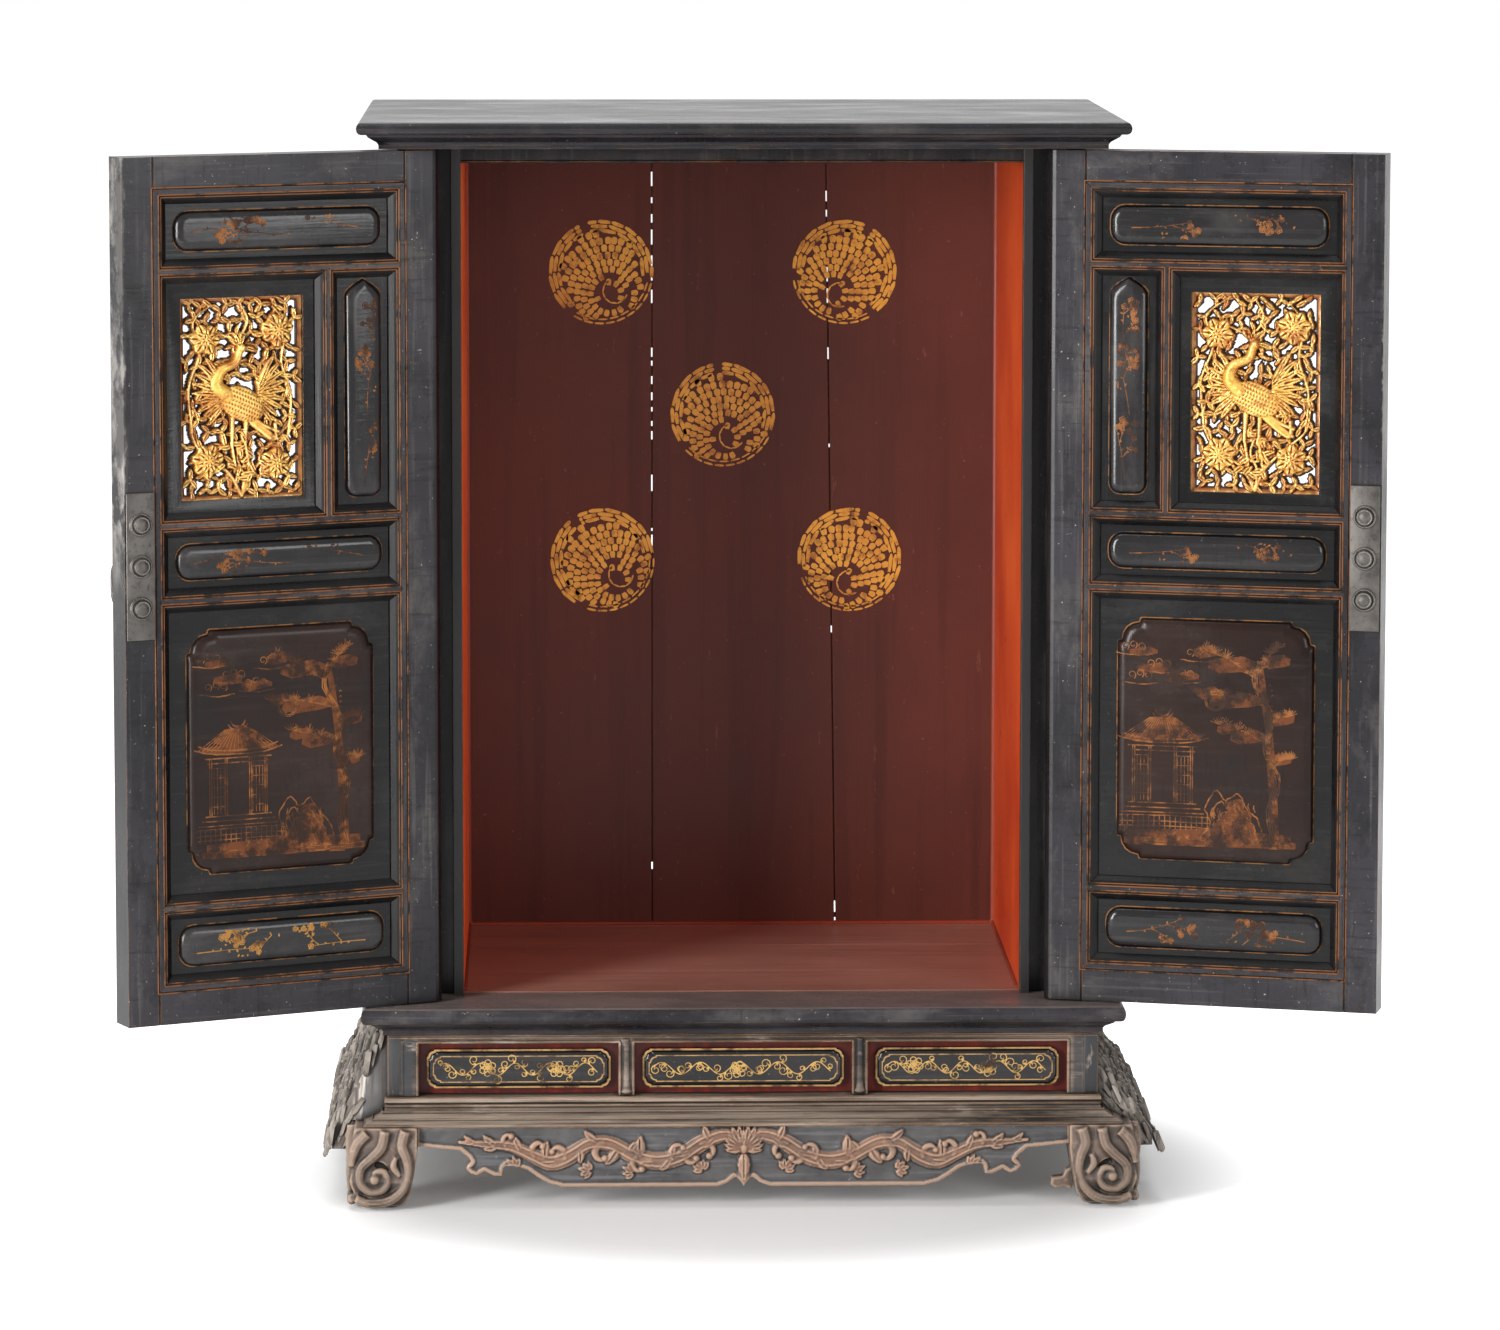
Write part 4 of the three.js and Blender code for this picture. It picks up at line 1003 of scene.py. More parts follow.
def relief(name, board, corner, low, back, drop):
    """A grid that follows the board's heights. The squares that drop names by their rows and columns
    are cut away, and what is left gets a flat back."""
    piece = start(name, bpy.ops.mesh.primitive_grid_add,
                  x_subdivisions=board.columns, y_subdivisions=board.rows, size=2)
    places = spots(piece)
    column = np.rint((places[:, 0] + 1) / 2 * board.columns).astype(int)
    row = np.rint((places[:, 1] + 1) / 2 * board.rows).astype(int)
    for axis, (lowest, table) in enumerate(((corner[0], board.u), (corner[1], board.v), (low, board.height))):
        places[:, axis] = (lowest + table[row, column]) * MM
    piece.data.vertices.foreach_set("co", places.ravel())
    bpy.ops.object.mode_set(mode="EDIT")
    pick("FACE", lambda face: drop([row[p.index] for p in face.verts], [column[p.index] for p in face.verts]))
    bpy.ops.mesh.delete(type="FACE")
    bpy.ops.mesh.select_all(action="SELECT")
    bpy.ops.mesh.extrude_region_move()
    mesh = bmesh.from_edit_mesh(piece.data)
    for point in mesh.verts:
        if point.select:
            point.co.z = back * MM
    bmesh.update_edit_mesh(piece.data)
    close_up()
    return piece


def store_height(piece, share):
    """Keeps at each point how high it was carved, from 0 to 1, for the finish."""
    heights = piece.data.attributes.new("carved_height", "FLOAT", "POINT")
    heights.data.foreach_set("value", np.clip(share, 0, 1))


print("carver's tools ready")

# %% Foliage and bird
panel_wide, panel_high = sight[1] - sight[0], sight[3] - sight[2]
stems = [
    [(54, 2, 1.2), (46, 20, 1), (30, 36, 0.9), (12, 52, 0.7), (8, 70, 0.5)],
    [(54, 2, 1.2), (66, 22, 1), (86, 34, 0.9), (98, 56, 0.7), (96, 74, 0.5)],
    [(12, 52, 0.8), (10, 84, 0.8), (18, 112, 0.8), (14, 140, 0.7), (26, 158, 0.5)],
    [(97, 56, 0.8), (100, 92, 0.8), (90, 122, 0.8), (96, 146, 0.7), (80, 160, 0.5)],
    [(54, 160, 0.6), (48, 146, 0.8), (58, 132, 0.8), (76, 138, 0.6)],
    [(54, 2, 1.0), (52, 18, 0.9), (58, 34, 0.8), (52, 50, 0.7)],
]
panel_blossoms = ((22, 138, 15, 7, 0.3), (86, 132, 14, 6, 0.1), (24, 28, 14, 6, 0.6), (84, 32, 15, 7, 0.2))


def lay_foliage(board, chance):
    for stem in stems:
        board.branch(curve_points(stem), 3.4, 5.0)
    # a jittered grid of leaf sprigs leaves gaps of about 5 mm between them
    for row in range(14):
        for column in range(9):
            u = 7 + 94 * (column + 0.5 * (row % 2)) / 8.5 + chance.uniform(-2.2, 2.2)
            v = 7 + 152 * row / 13 + chance.uniform(-2.2, 2.2)
            way = chance.uniform(0, 2 * math.pi)
            blades = chance.choice((2, 3, 3))
            tall = chance.uniform(4.0, 6.6)
            for k in range(blades):
                angle = way + k * 2 * math.pi / blades + chance.uniform(-0.3, 0.3)
                long = chance.uniform(7.0, 10.5)
                board.leaf(u, v, angle, long, long * 0.5, tall, chance.uniform(-0.35, 0.35))
            board.dome(u, v, 2.1, tall - 0.4)
    for u, v, radius, petals, turn in panel_blossoms:
        board.dome(u, v, radius * 0.8, 4.6, 0.3)
        board.blossom(u, v, radius, petals, 7.0, turn)


def lay_bird(board):
    """Tail plumes, wings in three rows of feathers, body, neck, head and crest, and legs."""
    for k, (bend, reach) in enumerate(((-0.5, 54), (-0.2, 60), (0.12, 58), (0.4, 48))):
        tip = (30 - 4 * k + 16 * bend, 108 - reach, 0.8)
        plume = [(48 + 2 * k, 70, 1.3), (36 - 3 * k, 60 - 4 * k, 1.0), tip]
        board.branch(curve_points(plume), 4.6, 7.2)
    for root_u, root_v, spread in ((40, 84, 1), (70, 84, -1)):
        for row, (count, long, top) in enumerate(((9, 33, 6.6), (8, 23, 7.6), (7, 14, 8.6))):
            for k in range(count):
                share = k / (count - 1)
                angle = math.pi * (0.62 + 0.62 * share) if spread > 0 else math.pi * (0.38 - 0.62 * share)
                u, v = root_u + spread * 3 * share, root_v + 6 - 9 * share
                board.leaf(u, v, angle, long * (1 - 0.18 * share), 6.2 - row, top, 0.14 * spread)
    along, across = board.near(54, 78, math.radians(24))
    body = 1 - (along / 21) ** 2 - (across / 13.5) ** 2
    scales = 0.8 * np.abs(np.sin(along * 1.15 + 0.6 * np.sin(across * 1.15))) * np.abs(np.cos(across * 0.9))
    board.lay(body > 0, 6.0 + 4.4 * np.sqrt(np.clip(body, 0, 1)) - scales)
    neck = curve_points([(66, 84, 2.3), (76, 94, 1.9), (72, 106, 1.4), (60, 112, 1.15), (56, 122, 1.1)])
    board.branch(neck, 6.6, 9.8)
    for u, v, share in neck[::3]:
        board.dome(u, v, 2.2 * share, 10.2)
    board.dome(54.5, 124, 5.0, 10.6)
    board.leaf(52, 124.5, math.pi * 1.06, 13, 4.4, 9.6, 0.1)
    for k in range(4):
        board.leaf(56, 126, math.radians(30 + 26 * k), 13 - k, 3.6, 8.8, 0.25)
    board.dome(53.2, 125.2, 1.3, 11.4)
    for u in (50, 62):
        board.branch([(u, 66, 1.5), (u + 1, 44, 0.9), (u - 2, 27, 0.9)], 3.4, 7.0)
        for k in range(3):
            board.leaf(u - 2, 28, math.radians(200 + 70 * k), 8, 2.8, 6.8)


print("stems:", len(stems), "blossoms:", len(panel_blossoms))

# %% Put one carving together
def spread(mask):
    """The squares of the mask and those beside them."""
    wider = mask.copy()
    wider[1:] |= mask[:-1]
    wider[:-1] |= mask[1:]
    wider[:, 1:] |= mask[:, :-1]
    wider[:, :-1] |= mask[:, 1:]
    return wider


def carve_panel(seed, mirror):
    """Foliage first, then the bird over it, then the border strip."""
    chance = random.Random(seed)
    board = Carving(panel_wide, panel_high, 0.72)
    lay_foliage(board, chance)
    lay_bird(board)
    for k in range(16):
        angle = chance.uniform(0, 2 * math.pi)
        board.leaf(54 + chance.uniform(-18, 18), 30 + chance.uniform(-20, 20), angle, 11, 5.4, 7.4, 0.3)
    # the border strip is plain and a little worn
    edge = np.minimum(np.minimum(board.u, panel_wide - board.u), np.minimum(board.v, panel_high - board.v))
    board.lay(edge < 3.2, 2.5 + 0.5 * np.cos(edge * 0.9))
    # a shelf round everything that was laid narrows the holes; the finish paints it near black as shade
    board.lay(spread(spread(board.height > 0)), 1.3)
    board.height = np.where(board.height > 1.3, board.height + 0.45 * board.wobble(0.16, seed), board.height)
    if mirror:
        board.height = board.height[:, ::-1]
    return board


print("carving board:", panel_wide, "by", panel_high, "mm")

# %% Saw and gild the carvings
relief_back = -4.0
relief_low = -2.4


def squares_to_keep(board):
    """Squares that something covers, joined to the border, with no two that touch only at a corner."""
    bare = board.height < 1.2
    keep = (bare[:-1, :-1].astype(int) + bare[1:, :-1] + bare[:-1, 1:] + bare[1:, 1:]) < 2
    for _ in range(4):
        a, b, c, d = keep[:-1, :-1], keep[:-1, 1:], keep[1:, :-1], keep[1:, 1:]
        keep[:-1, :-1] &= ~(a & d & ~b & ~c)
        keep[:-1, 1:] &= ~(b & c & ~a & ~d)
    reached = np.zeros(keep.shape, bool)
    reached[0], reached[-1], reached[:, 0], reached[:, -1] = True, True, True, True
    reached &= keep
    while True:
        grown = spread(reached) & keep
        if (grown == reached).all():
            return reached
        reached = grown


def gild(piece, side, finish):
    """Moves a flat piece from the drawing board onto its door and gilds it."""
    move(piece, on_door[side])
    settle(piece, side + "_door", "gilt", finish, angle=60)


# gold leaf on the high parts and red-brown where the leaf has rubbed away; a painted highlight on the ridges,
# and painted shade that browns the hollows and the low parts and turns the shelf near black
f = Bench("gilt carving", 0.35, metal=0.4)
high = f.node("Attribute", attribute_name="carved_height")["Fac"]
cloud = f.noise(40, 4)
rub = f.noise(130, 5, shift=4.0)
ridge = f.hollow(0.44, 0.56)
f.base = f.blend(cloud, "#c88626", "#f2c05c")
# painted shade in the hollows and a painted highlight on the ridges
f.coat("#6a2f10", ridge, 0.2, 0.56, 0, 0.9)
f.coat("#fbe19a", ridge, 0.6, 0.9, 0.7)
# painted shade: browner towards the low parts
f.base = f.mix(f.range(high, 0.26, 0.56), "#7a3d14", f.base)
f.coat("#964f1c", f.noise(55, 6, shift=9, rough=0.7), 0.50, 0.64, 0.75)
f.coat("#6f3d20", rub, 0.60, 0.7, 0.8)
# painted shade: the lowest parts and the shelf near black
f.base = f.mix(f.range(high, 0.22, 0.3), "#0e0907", f.base)
leaf_gold = f.done((rub, 0.35, 0.7, 0.26, 0.55), f.plus(rub, cloud), 0.25 * MM)

for side, seed in (("left", 4), ("right", 11)):
    board = carve_panel(seed, side == "right")
    keep = squares_to_keep(board)
    flat = relief(side + "_gilt_carving", board, (sight[0], sight[2]), relief_low, relief_back,
                  lambda rows, columns: not keep[min(rows), min(columns)])
    store_height(flat, (spots(flat)[:, 2] / MM - relief_back) / 13)
    gild(flat, side, leaf_gold)
    print(flat.name, "faces:", len(flat.data.polygons))

# %% [markdown]
# ## Lock plates
# Each free stile carries an iron plate with three ringed, domed studs, and the outer plate a grip for
# the hand. The plate's arrises are bevelled, and the stud is a sphere cut below its middle and pressed
# flat, standing in two rings. It is modelled once and copied.

# %% Model the stud and the plate
seat = at(269.7, 380.5, 15.1)
stud_heights = (-34.5, 0, 34.5)

stud = start("stud", bpy.ops.mesh.primitive_uv_sphere_add, segments=28, ring_count=16, radius=8 * MM)
edit_all()
bpy.ops.mesh.bisect(plane_co=(0, 0, 0.5 * MM), plane_no=(0, 0, 1), clear_inner=True, use_fill=True)
bpy.ops.object.mode_set(mode="OBJECT")
stud.data.transform(at(0, 0, 0.2) @ Matrix.Diagonal((0.92, 0.92, 0.66, 1)))
rings = []
for radius, thick, w in ((8.6, 1.3, 0.9), (6.1, 0.55, 3.5)):
    ring = start("ring", bpy.ops.mesh.primitive_torus_add, major_radius=radius * MM, minor_radius=thick * MM,
                 major_segments=36, minor_segments=8)
    ring.data.transform(at(0, 0, w))
    rings.append(ring)

plate = start("plate", bpy.ops.mesh.primitive_cube_add, size=1)
plate.data.transform(sized(25, 121, 1.7))
edit_all()
bpy.ops.mesh.bevel(offset=0.7 * MM, segments=2, affect="EDGES")
bpy.ops.object.mode_set(mode="OBJECT")

grip_bow = ((-32, 1), (-31, 6), (-27, 8.6), (-17, 9.2), (-7, 8.6), (-3, 6), (-2, 1))
grip = line_work("grip", [[(9.6 * MM, v * MM - 0.3 * MM, w * MM, 1) for v, w in grip_bow]], 1.6 * MM, sides=2)
plate_parts = [(plate, seat)]
for height in stud_heights:
    spot = seat @ at(0, height, 0.9)
    plate_parts += [(stud, spot)] + [(ring, spot) for ring in rings]
plates = {
    "inner": gather("inner_plate", plate_parts), "outer": gather("outer_plate", plate_parts + [(grip, seat)]),
}
for side, face, place in door_faces:
    piece = copy_to(plates[face], f"{side}_{face}_stud_plate", place)
    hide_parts(f"{side}_door_{face}_lock_plate")
    settle(piece, side + "_door", "iron", iron, angle=45)
discard(plate, stud, grip, *rings, *plates.values())
print("lock plates: 4")

# %% [markdown]
# ## Inside the niche
# The niche has red-brown floor boards behind a black sill, red fillets along its inner corners, and a
# back wall whose two cracks let light through only here and there, because dirt and old filler still
# hold in them. The boards are plates with eased edges. The fillets are straight strokes with a round
# section, half sunk in their corner, as a painter's stopping is.

# %% Floor boards and fillets
f = Bench("red-brown floor lacquer", 0.4)
cloud = f.noise(5, 5, (0.5, 1, 1))
scrape = f.noise(160, 4, level_grain)
chip = f.noise(45, 7, shift=6, rough=0.7)
normal = f.soft_normal(0.8 * MM)
f.base = f.blend(cloud, "#8f6052", "#b88676")
f.coat("#6e3c30", scrape, 0.52, 0.72, 0.5)
f.coat("#b08d7c", chip, 0.60, 0.70, 0.55)
f.lay("#2a1512", f.arris(normal), 0.6)
niche_boards = f.done((cloud, 0.3, 0.7, 0.28, 0.5), f.plus(scrape, chip), 0.35 * MM, normal)

board_lines = [niche_front + share * (niche_back - niche_front) for share in (0.01, 0.3, 0.68, 1.0)]
boards = []
for y0, y1 in zip(board_lines, board_lines[1:]):
    outline = rectangle(-niche_half, niche_half, y0, y1, 1)
    board = drawn_plate("board", outline, 0.5 * MM, [(0.6 * MM, 0.35 * MM)])
    boards.append((board, Matrix.Translation((0, 0, niche_floor))))
settle(gather("niche_floor_boards", boards), "cabinet", "red_lacquer", niche_boards, angle=30)
discard(*[board for board, _ in boards])

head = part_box("head_rail")[1].z
low = niche_floor + 1.6 * MM
red_lines = []
for x in (-niche_half, niche_half):
    red_lines.append([(x, niche_front + 6 * MM, low, 1), (x, niche_back, low, 1)])
    red_lines.append([(x, niche_back, low, 1), (x, niche_back, head - 2 * MM, 1)])
red_lines.append([(-niche_half, niche_back, low, 1), (niche_half, niche_back, low, 1)])
settle(line_work("niche_fillets", red_lines, 2.6 * MM, sides=2), "cabinet", "red_lacquer", fillet_red)


print("floor boards:", len(boards), "fillets:", len(red_lines))

# %% Fill the cracks
def open_dashes(seed, ranges):
    """Irregular dashes: (from, to, how much of it is open) shares of the height, from the foot up."""
    chance = random.Random(seed)
    found = []
    for level, end, open_share in ranges:
        while level < end:
            long = chance.uniform(0.006, 0.02)
            if chance.random() < open_share:
                found.append((level, min(level + long, end)))
            level += long + chance.uniform(0.004, 0.016)
    return found


def crack_filler(name, foot_x, top_x, seed, dashes):
    """Short wedges of filler that leave the listed dashes of the crack open."""
    chance = random.Random(seed)
    rows, level = [], 0.0
    for dash_foot, dash_top in dashes + [(1.0, 1.0)]:
        while level < dash_foot - 0.002:
            stop = min(dash_foot, level + chance.uniform(0.02, 0.06))
            rows.append((level, stop))
            level = stop
        level = max(level, dash_top)
    lines = []
    for row in rows:
        places = [(foot_x + (top_x - foot_x) * s, niche_floor + (head - niche_floor) * s) for s in row]
        for deep in (3 * MM, 7 * MM):
            lines.append([(x, niche_back + deep, z, 1) for x, z in places])
    settle(line_work(name, lines, 1.15 * MM), "cabinet", "maroon_lacquer", maroon_walls)


left_open = open_dashes(5, [
    (0.07, 0.08, 1), (0.30, 0.40, 0.2), (0.44, 0.5, 0.5), (0.52, 0.60, 0.85), (0.61, 0.725, 1.0),
    (0.78, 0.99, 1.0)])
right_open = open_dashes(8, [
    (0.0, 0.03, 1.0), (0.3, 0.5, 0.04), (0.60, 0.605, 1.0), (0.71, 0.725, 1.0), (0.78, 0.96, 0.6),
    (0.97, 0.995, 0.9)])
crack_filler("left_crack_filler", -71 * MM, -71 * MM, 3, left_open)
crack_filler("right_crack_filler", 93 * MM, 83 * MM, 9, right_open)
print("open dashes:", len(left_open), "and", len(right_open))

# %% [markdown]
# ## Gold roundels on the back wall
# Five round medallions of gold brush marks are set like the pips of a die. Each is a whorl of feather
# strokes, long ones round the rim and scales within. A single stroke is modelled as a thin pointed
# leaf, and a hundred and some copies of it are turned about the centre.

# %% Brush marks of a roundel
f = Bench("brushed gold paint", 0.42, metal=0.2)
rub = f.noise(90, 6, rough=0.7)
f.base = f.blend(f.noise(14, 3, shift=3), "#bd7b1f", "#e6a637")
f.coat("#7d3f1c", rub, 0.5, 0.68, 0.85)
gold_paint = f.done((rub, 0.3, 0.7, 0.32, 0.6), rub, 0.2 * MM)

upper_leaf = [(0.93, 0.3), (0.74, 0.5), (0.3, 0.46), (0.0, 0.3)]
lower_leaf = [(share, -half) for share, half in upper_leaf[::-1]]
stroke = drawn_plate("stroke", [(1, 0)] + upper_leaf + [(0.06, 0)] + lower_leaf, 1.0)


def polar(u, v, reach, angle):
    """The point at a distance and an angle from (u, v)."""
    return u + reach * math.cos(angle), v + reach * math.sin(angle)


def brush_mark(u, v, angle, long, wide):
    """Where one stroke goes, from its root, as a matrix of the drawing board."""
    return at(u, v) @ Matrix.Rotation(angle, 4, "Z") @ sized(long, wide, 0.35)


def ring_mark(radius, angle, lean, long, wide, centre=(0, 0)):
    return brush_mark(*polar(*centre, radius, angle), angle + lean, long, wide)


def roundel_marks(seed):
    """Scales spread in rows from a low point, and long feathers lie along the rim on both sides."""
    chance = random.Random(seed)
    marks = []
    for row, away in enumerate((8, 13.6, 19.4, 25.4, 31.6, 38, 44.6, 51.4)):
        pitch = 4.6 + 0.035 * away
        count = round(2 * math.pi * away / pitch)
        for k in range(count):
            angle = 2 * math.pi * (k + 0.5 * (row % 2)) / count + chance.uniform(-0.02, 0.02)
            u, v = polar(0, -21.0, away, angle)
            reach = max(math.hypot(u, v), math.hypot(*polar(u, v, 5.6, angle)))
            past_rim = reach > 34.5 + (9 if v < -16 else 2.5) + chance.uniform(-1.5, 1.5)
            on_neck = abs(math.hypot(u - 6, v + 20) - 11) < 3.0 and (u < 10 or v < -20)
            if not past_rim and not on_neck:
                way = angle + chance.uniform(-0.1, 0.1)
                marks.append(brush_mark(u, v, way, 6.0 + 0.02 * away, pitch * chance.uniform(0.9, 0.99)))
    for radius, wide in ((45.0, 3.5), (41.2, 3.6), (37.4, 3.5)):
        for first, last, hand in ((-24, 84, 1), (204, 96, -1)):
            angle = first + chance.uniform(-3, 3)
            while (last - angle) * hand > 2:
                long = min(chance.uniform(11, 18), abs(last - angle) * math.radians(1) * radius + 1)
                lean = hand * (math.pi / 2 + 0.5 * long / radius - 0.04)
                marks.append(ring_mark(radius, math.radians(angle), lean, long, wide))
                angle += hand * math.degrees((long + 0.6) / radius)
    # thin arcs close the foot, and a bent neck lies over the scales
    for radius, wide, count in ((45.6, 1.9, 9), (42.0, 1.5, 8)):
        for k in range(count):
            marks.append(ring_mark(radius, math.radians(214 + 112 * (k + 0.3) / count), 1.66, 8.6, wide))
    for k in range(7):
        marks.append(ring_mark(11, math.radians(100 + 32 * k), 1.85, 6.2, 1.5, (6, -20)))
    return marks


print("brush marks in one roundel:", len(roundel_marks(1)))

# %% Paint the roundels
roundel_places = [(-116, 587, 0.35), (100, 587, -0.5), (-8, 460, 0.1), (-115, 330, 0.6), (105, 330, -0.3)]
wall = facing_front(niche_back - 0.02 * MM)
for number, (x, z, turn) in enumerate(roundel_places, 1):
    centre = Matrix.Translation((x * MM, niche_floor + z * MM, 0)) @ Matrix.Rotation(turn, 4, "Z")
    roundel = gather(f"roundel_{number}", [(stroke, wall @ centre @ mark) for mark in roundel_marks(number)])
    settle(roundel, "cabinet", "gilt", gold_paint)
discard(stroke)
print("roundels:", len(roundel_places))

# %% [markdown]
# ## Waist: cartouches, beads and vine scrolls
# Three black cartouches with bracket corners stand in red recesses. Each has a double gold edge and a
# running vine in gold: a wave with curls all along it, and one or two open blossoms. The gold is
# real relief here, a stroke with a round section that is pressed almost flat, so that it catches light.

# %% Draw vines and blossoms
def spiral(u, v, angle, radius, sweep, hand, small=0.25, steps=12):
    """A curl that leaves (u, v) in the direction angle and winds inwards."""
    line = []
    for step in range(steps + 1):
        t = step / steps
        line.append((u, v, 1 - 0.55 * t))
        angle += hand * sweep / steps
        u, v = polar(u, v, radius * (1 - (1 - small) * t) * sweep / steps, angle)
    return line


def circle(u, v, radius, parts, share):
    return [(*polar(u, v, radius, k / parts * 2 * math.pi), share) for k in range(parts + 1)]


def petals(u, v, radius, count, turn):
    """Petals as open loops, and a small ring in the middle."""
    lines = []
    for k in range(count):
        angle = turn + k * 2 * math.pi / count
        loop = []
        for step in range(9):
            t = step / 8 * 2 * math.pi
            along = radius * (0.55 - 0.5 * math.cos(t))
            across = radius * 0.42 * math.sin(t)
            loop.append((u + along * math.cos(angle) - across * math.sin(angle),
                         v + along * math.sin(angle) + across * math.cos(angle), 0.9))
        lines.append(loop)
    return lines + [circle(u, v, radius * 0.2, 6, 1.2)]


def vine(half_wide, half_high, blossoms, seed):
    """A waving stem with a curl and a leaf at every step, apart from where a blossom stands."""
    chance = random.Random(seed)
    waves, steps = 4.5, 60
    stem = []
    for step in range(steps + 1):
        share = step / steps
        v = half_high * 0.5 * math.sin(2 * math.pi * waves * share + 0.6)
        stem.append((half_wide * (2 * share - 1), v, 0.9))
    lines = [stem]
    curls = int(waves * 7)
    for k in range(curls):
        index = int((k + 0.5) / curls * steps)
        u, v, _ = stem[index]
        if min(abs(u - b) for b, _ in blossoms) < 5:
            continue
        (ua, va, _), (ub, vb, _) = stem[index - 1], stem[index + 1]
        hand = 1 if k % 2 == 0 else -1
        way = math.atan2(vb - va, ub - ua) + ((math.pi if chance.random() < 0.35 else 0) - hand * 0.2)
        lines.append(spiral(u, v, way, half_high * chance.uniform(0.22, 0.42), math.radians(460), hand))
        tip = way + hand * 1.2
        lines.append([(u, v, 0.5), (*polar(u, v, 1.6, tip), 1.3), (*polar(u, v, 3, tip), 0.4)])
    for u, v in blossoms:
        for size, count in ((0.66, 6), (0.36, 5)):
            lines += petals(u, v, half_high * size, count, chance.uniform(0, 1))
    return lines


print("strokes in one vine:", len(vine(70, 15, [(0, 0)], 1)))

# %% Cut and gild the cartouches
bright_line = gold_line("bright gold line", "#cfa662", "#4a3420", 0.38)
edge_line = gold_line("cartouche gold edge", "#b08c5c", "#5c432e", 0.40)
cartouche_lacquer = black_lacquer("cartouche lacquer", level_grain, **panel_look)
cartouche_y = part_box("middle_cartouche")[1].y
cartouche_blossoms = {"left": [(-26, 1), (32, 0)], "middle": [(-4, -1)], "right": [(-44, 2), (18, -1)]}
cartouche_rim = [(0, 5.4, 0), (1.5, 0.0, 1), (0.02, 0.3, 0)] + round_over(3.4, 2.2, 5)
cartouche_rim += [(0.1, 0.0, 0), (0.9, 0.0, 1)]


def cartouche_outline(half_u, half_v):
    outline = bracket_outline(-half_u, half_u, -half_v, half_v, 7.5)
    return [(u * MM, v * MM) for u, v in outline]


for name, blossoms in cartouche_blossoms.items():
    lowest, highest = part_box(name + "_cartouche")
    half_u, half_v = (highest.x - lowest.x) / 2 / MM, (highest.z - lowest.z) / 2 / MM
    middle = Matrix.Translation(((lowest.x + highest.x) / 2, (lowest.z + highest.z) / 2, 0))
    place = facing_front(cartouche_y) @ middle
    shape = lambda inset: cartouche_outline(half_u - inset, half_v - inset)
    piece = ringed_plate(name + "_cartouche_plate", shape, cartouche_rim)
    move(piece, place)
    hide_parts(name + "_cartouche")
    settle(piece, "cabinet", "black_lacquer", cartouche_lacquer, edge_line, angle=50)
    lines = lift(vine(half_u - 11, half_v - 6.0, blossoms, len(name)), 7.93 * MM)
    scroll = line_work(name + "_vine_scroll", lines, 0.46 * MM, flat=0.5)
    move(scroll, place)
    settle(scroll, "cabinet", "gilt", bright_line, angle=60)
print("cartouches with vine scrolls: 3")

# %% Beads round the windows and ridges on the mullions
waist_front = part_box("waist_frame")[0].y
window_foot, window_top = 92.6, 138.1
flank_front = -137 * MM
bead_lines, ridge_lines = [], []
for x0, x1 in ((-273.5, -103.5), (-92.5, 92.5), (103.5, 273.5)):
    ring = [(x1, window_foot), (x1, window_top), (x0, window_top), (x0, window_foot)]
    for ends in zip(ring, ring[1:]):
        bead_lines.append([(x * MM, waist_front, z * MM, 1) for x, z in ends])
for x in (-98, 98):
    ridge = [(0.75, 140), (0.75, 104), (0.9, 99), (1.25, 95.5), (0.9, 93.4), (0.5, 92.8)]
    ridge_lines.append([(x * MM, waist_front + 0.8 * MM, z * MM, share) for share, z in ridge])
for x in (-286, 286):
    ridge_lines.append([(x * MM, waist_front + 1.6 * MM, z * MM, 0.55) for z in (139, 120, 100, 93)])
for z in (141.8, 143.9):
    bead_lines.append([(x * MM, waist_front, z * MM, 0.9) for x in (-298, 298)])
base_front, base_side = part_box("base_board")[0].y / MM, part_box("base_board")[1].x / MM
base_steps = ((0.6, 71.0, 1.1), (6.4, 75.2, 0.5), (14.6, 80.2, 0.9), (18.2, 84.6, 1.3), (18.4, 90.8, 1.0))
for setback, z, share in base_steps:
    x, y = (base_side - setback) * MM, (base_front + setback) * MM
    corners = [(end, y, z * MM, share) for end in (-x, x)]
    bead_lines.append(corners)
    for corner in corners:
        bead_lines.append([corner, (corner[0], flank_front, z * MM, share)])
for side, x in (("left", -292.2), ("right", 292.2)):
    post = drawn_plate(
        side + "_post_face", rectangle(x - 5.6, x + 5.6, 93, 145), 0.5 * MM, [(0.8 * MM, 0.5 * MM)])
    move(post, facing_front(waist_front))
    settle(post, "cabinet", "worn_lacquer", slate_posts)
run_beads = line_work("waist_beads", bead_lines, 1.3 * MM, sides=2)
ridges = line_work("mullion_ridges", ridge_lines, 4.2 * MM, sides=3)
for piece in (run_beads, ridges):
    settle(piece, "cabinet", "worn_lacquer", waist_finish)
print("waist beads:", len(bead_lines), "ridges:", len(ridge_lines))

# %% [markdown]
# ## The carved apron
# The apron is a scalloped board with a raised bead along its lower edge and a leafy scroll that runs
# out from a palmette in the middle. The board of small squares that carved the gilt panels serves
# again, laid over the CAD apron: one half is cut to the scalloped outline, and its mirror image joins it.

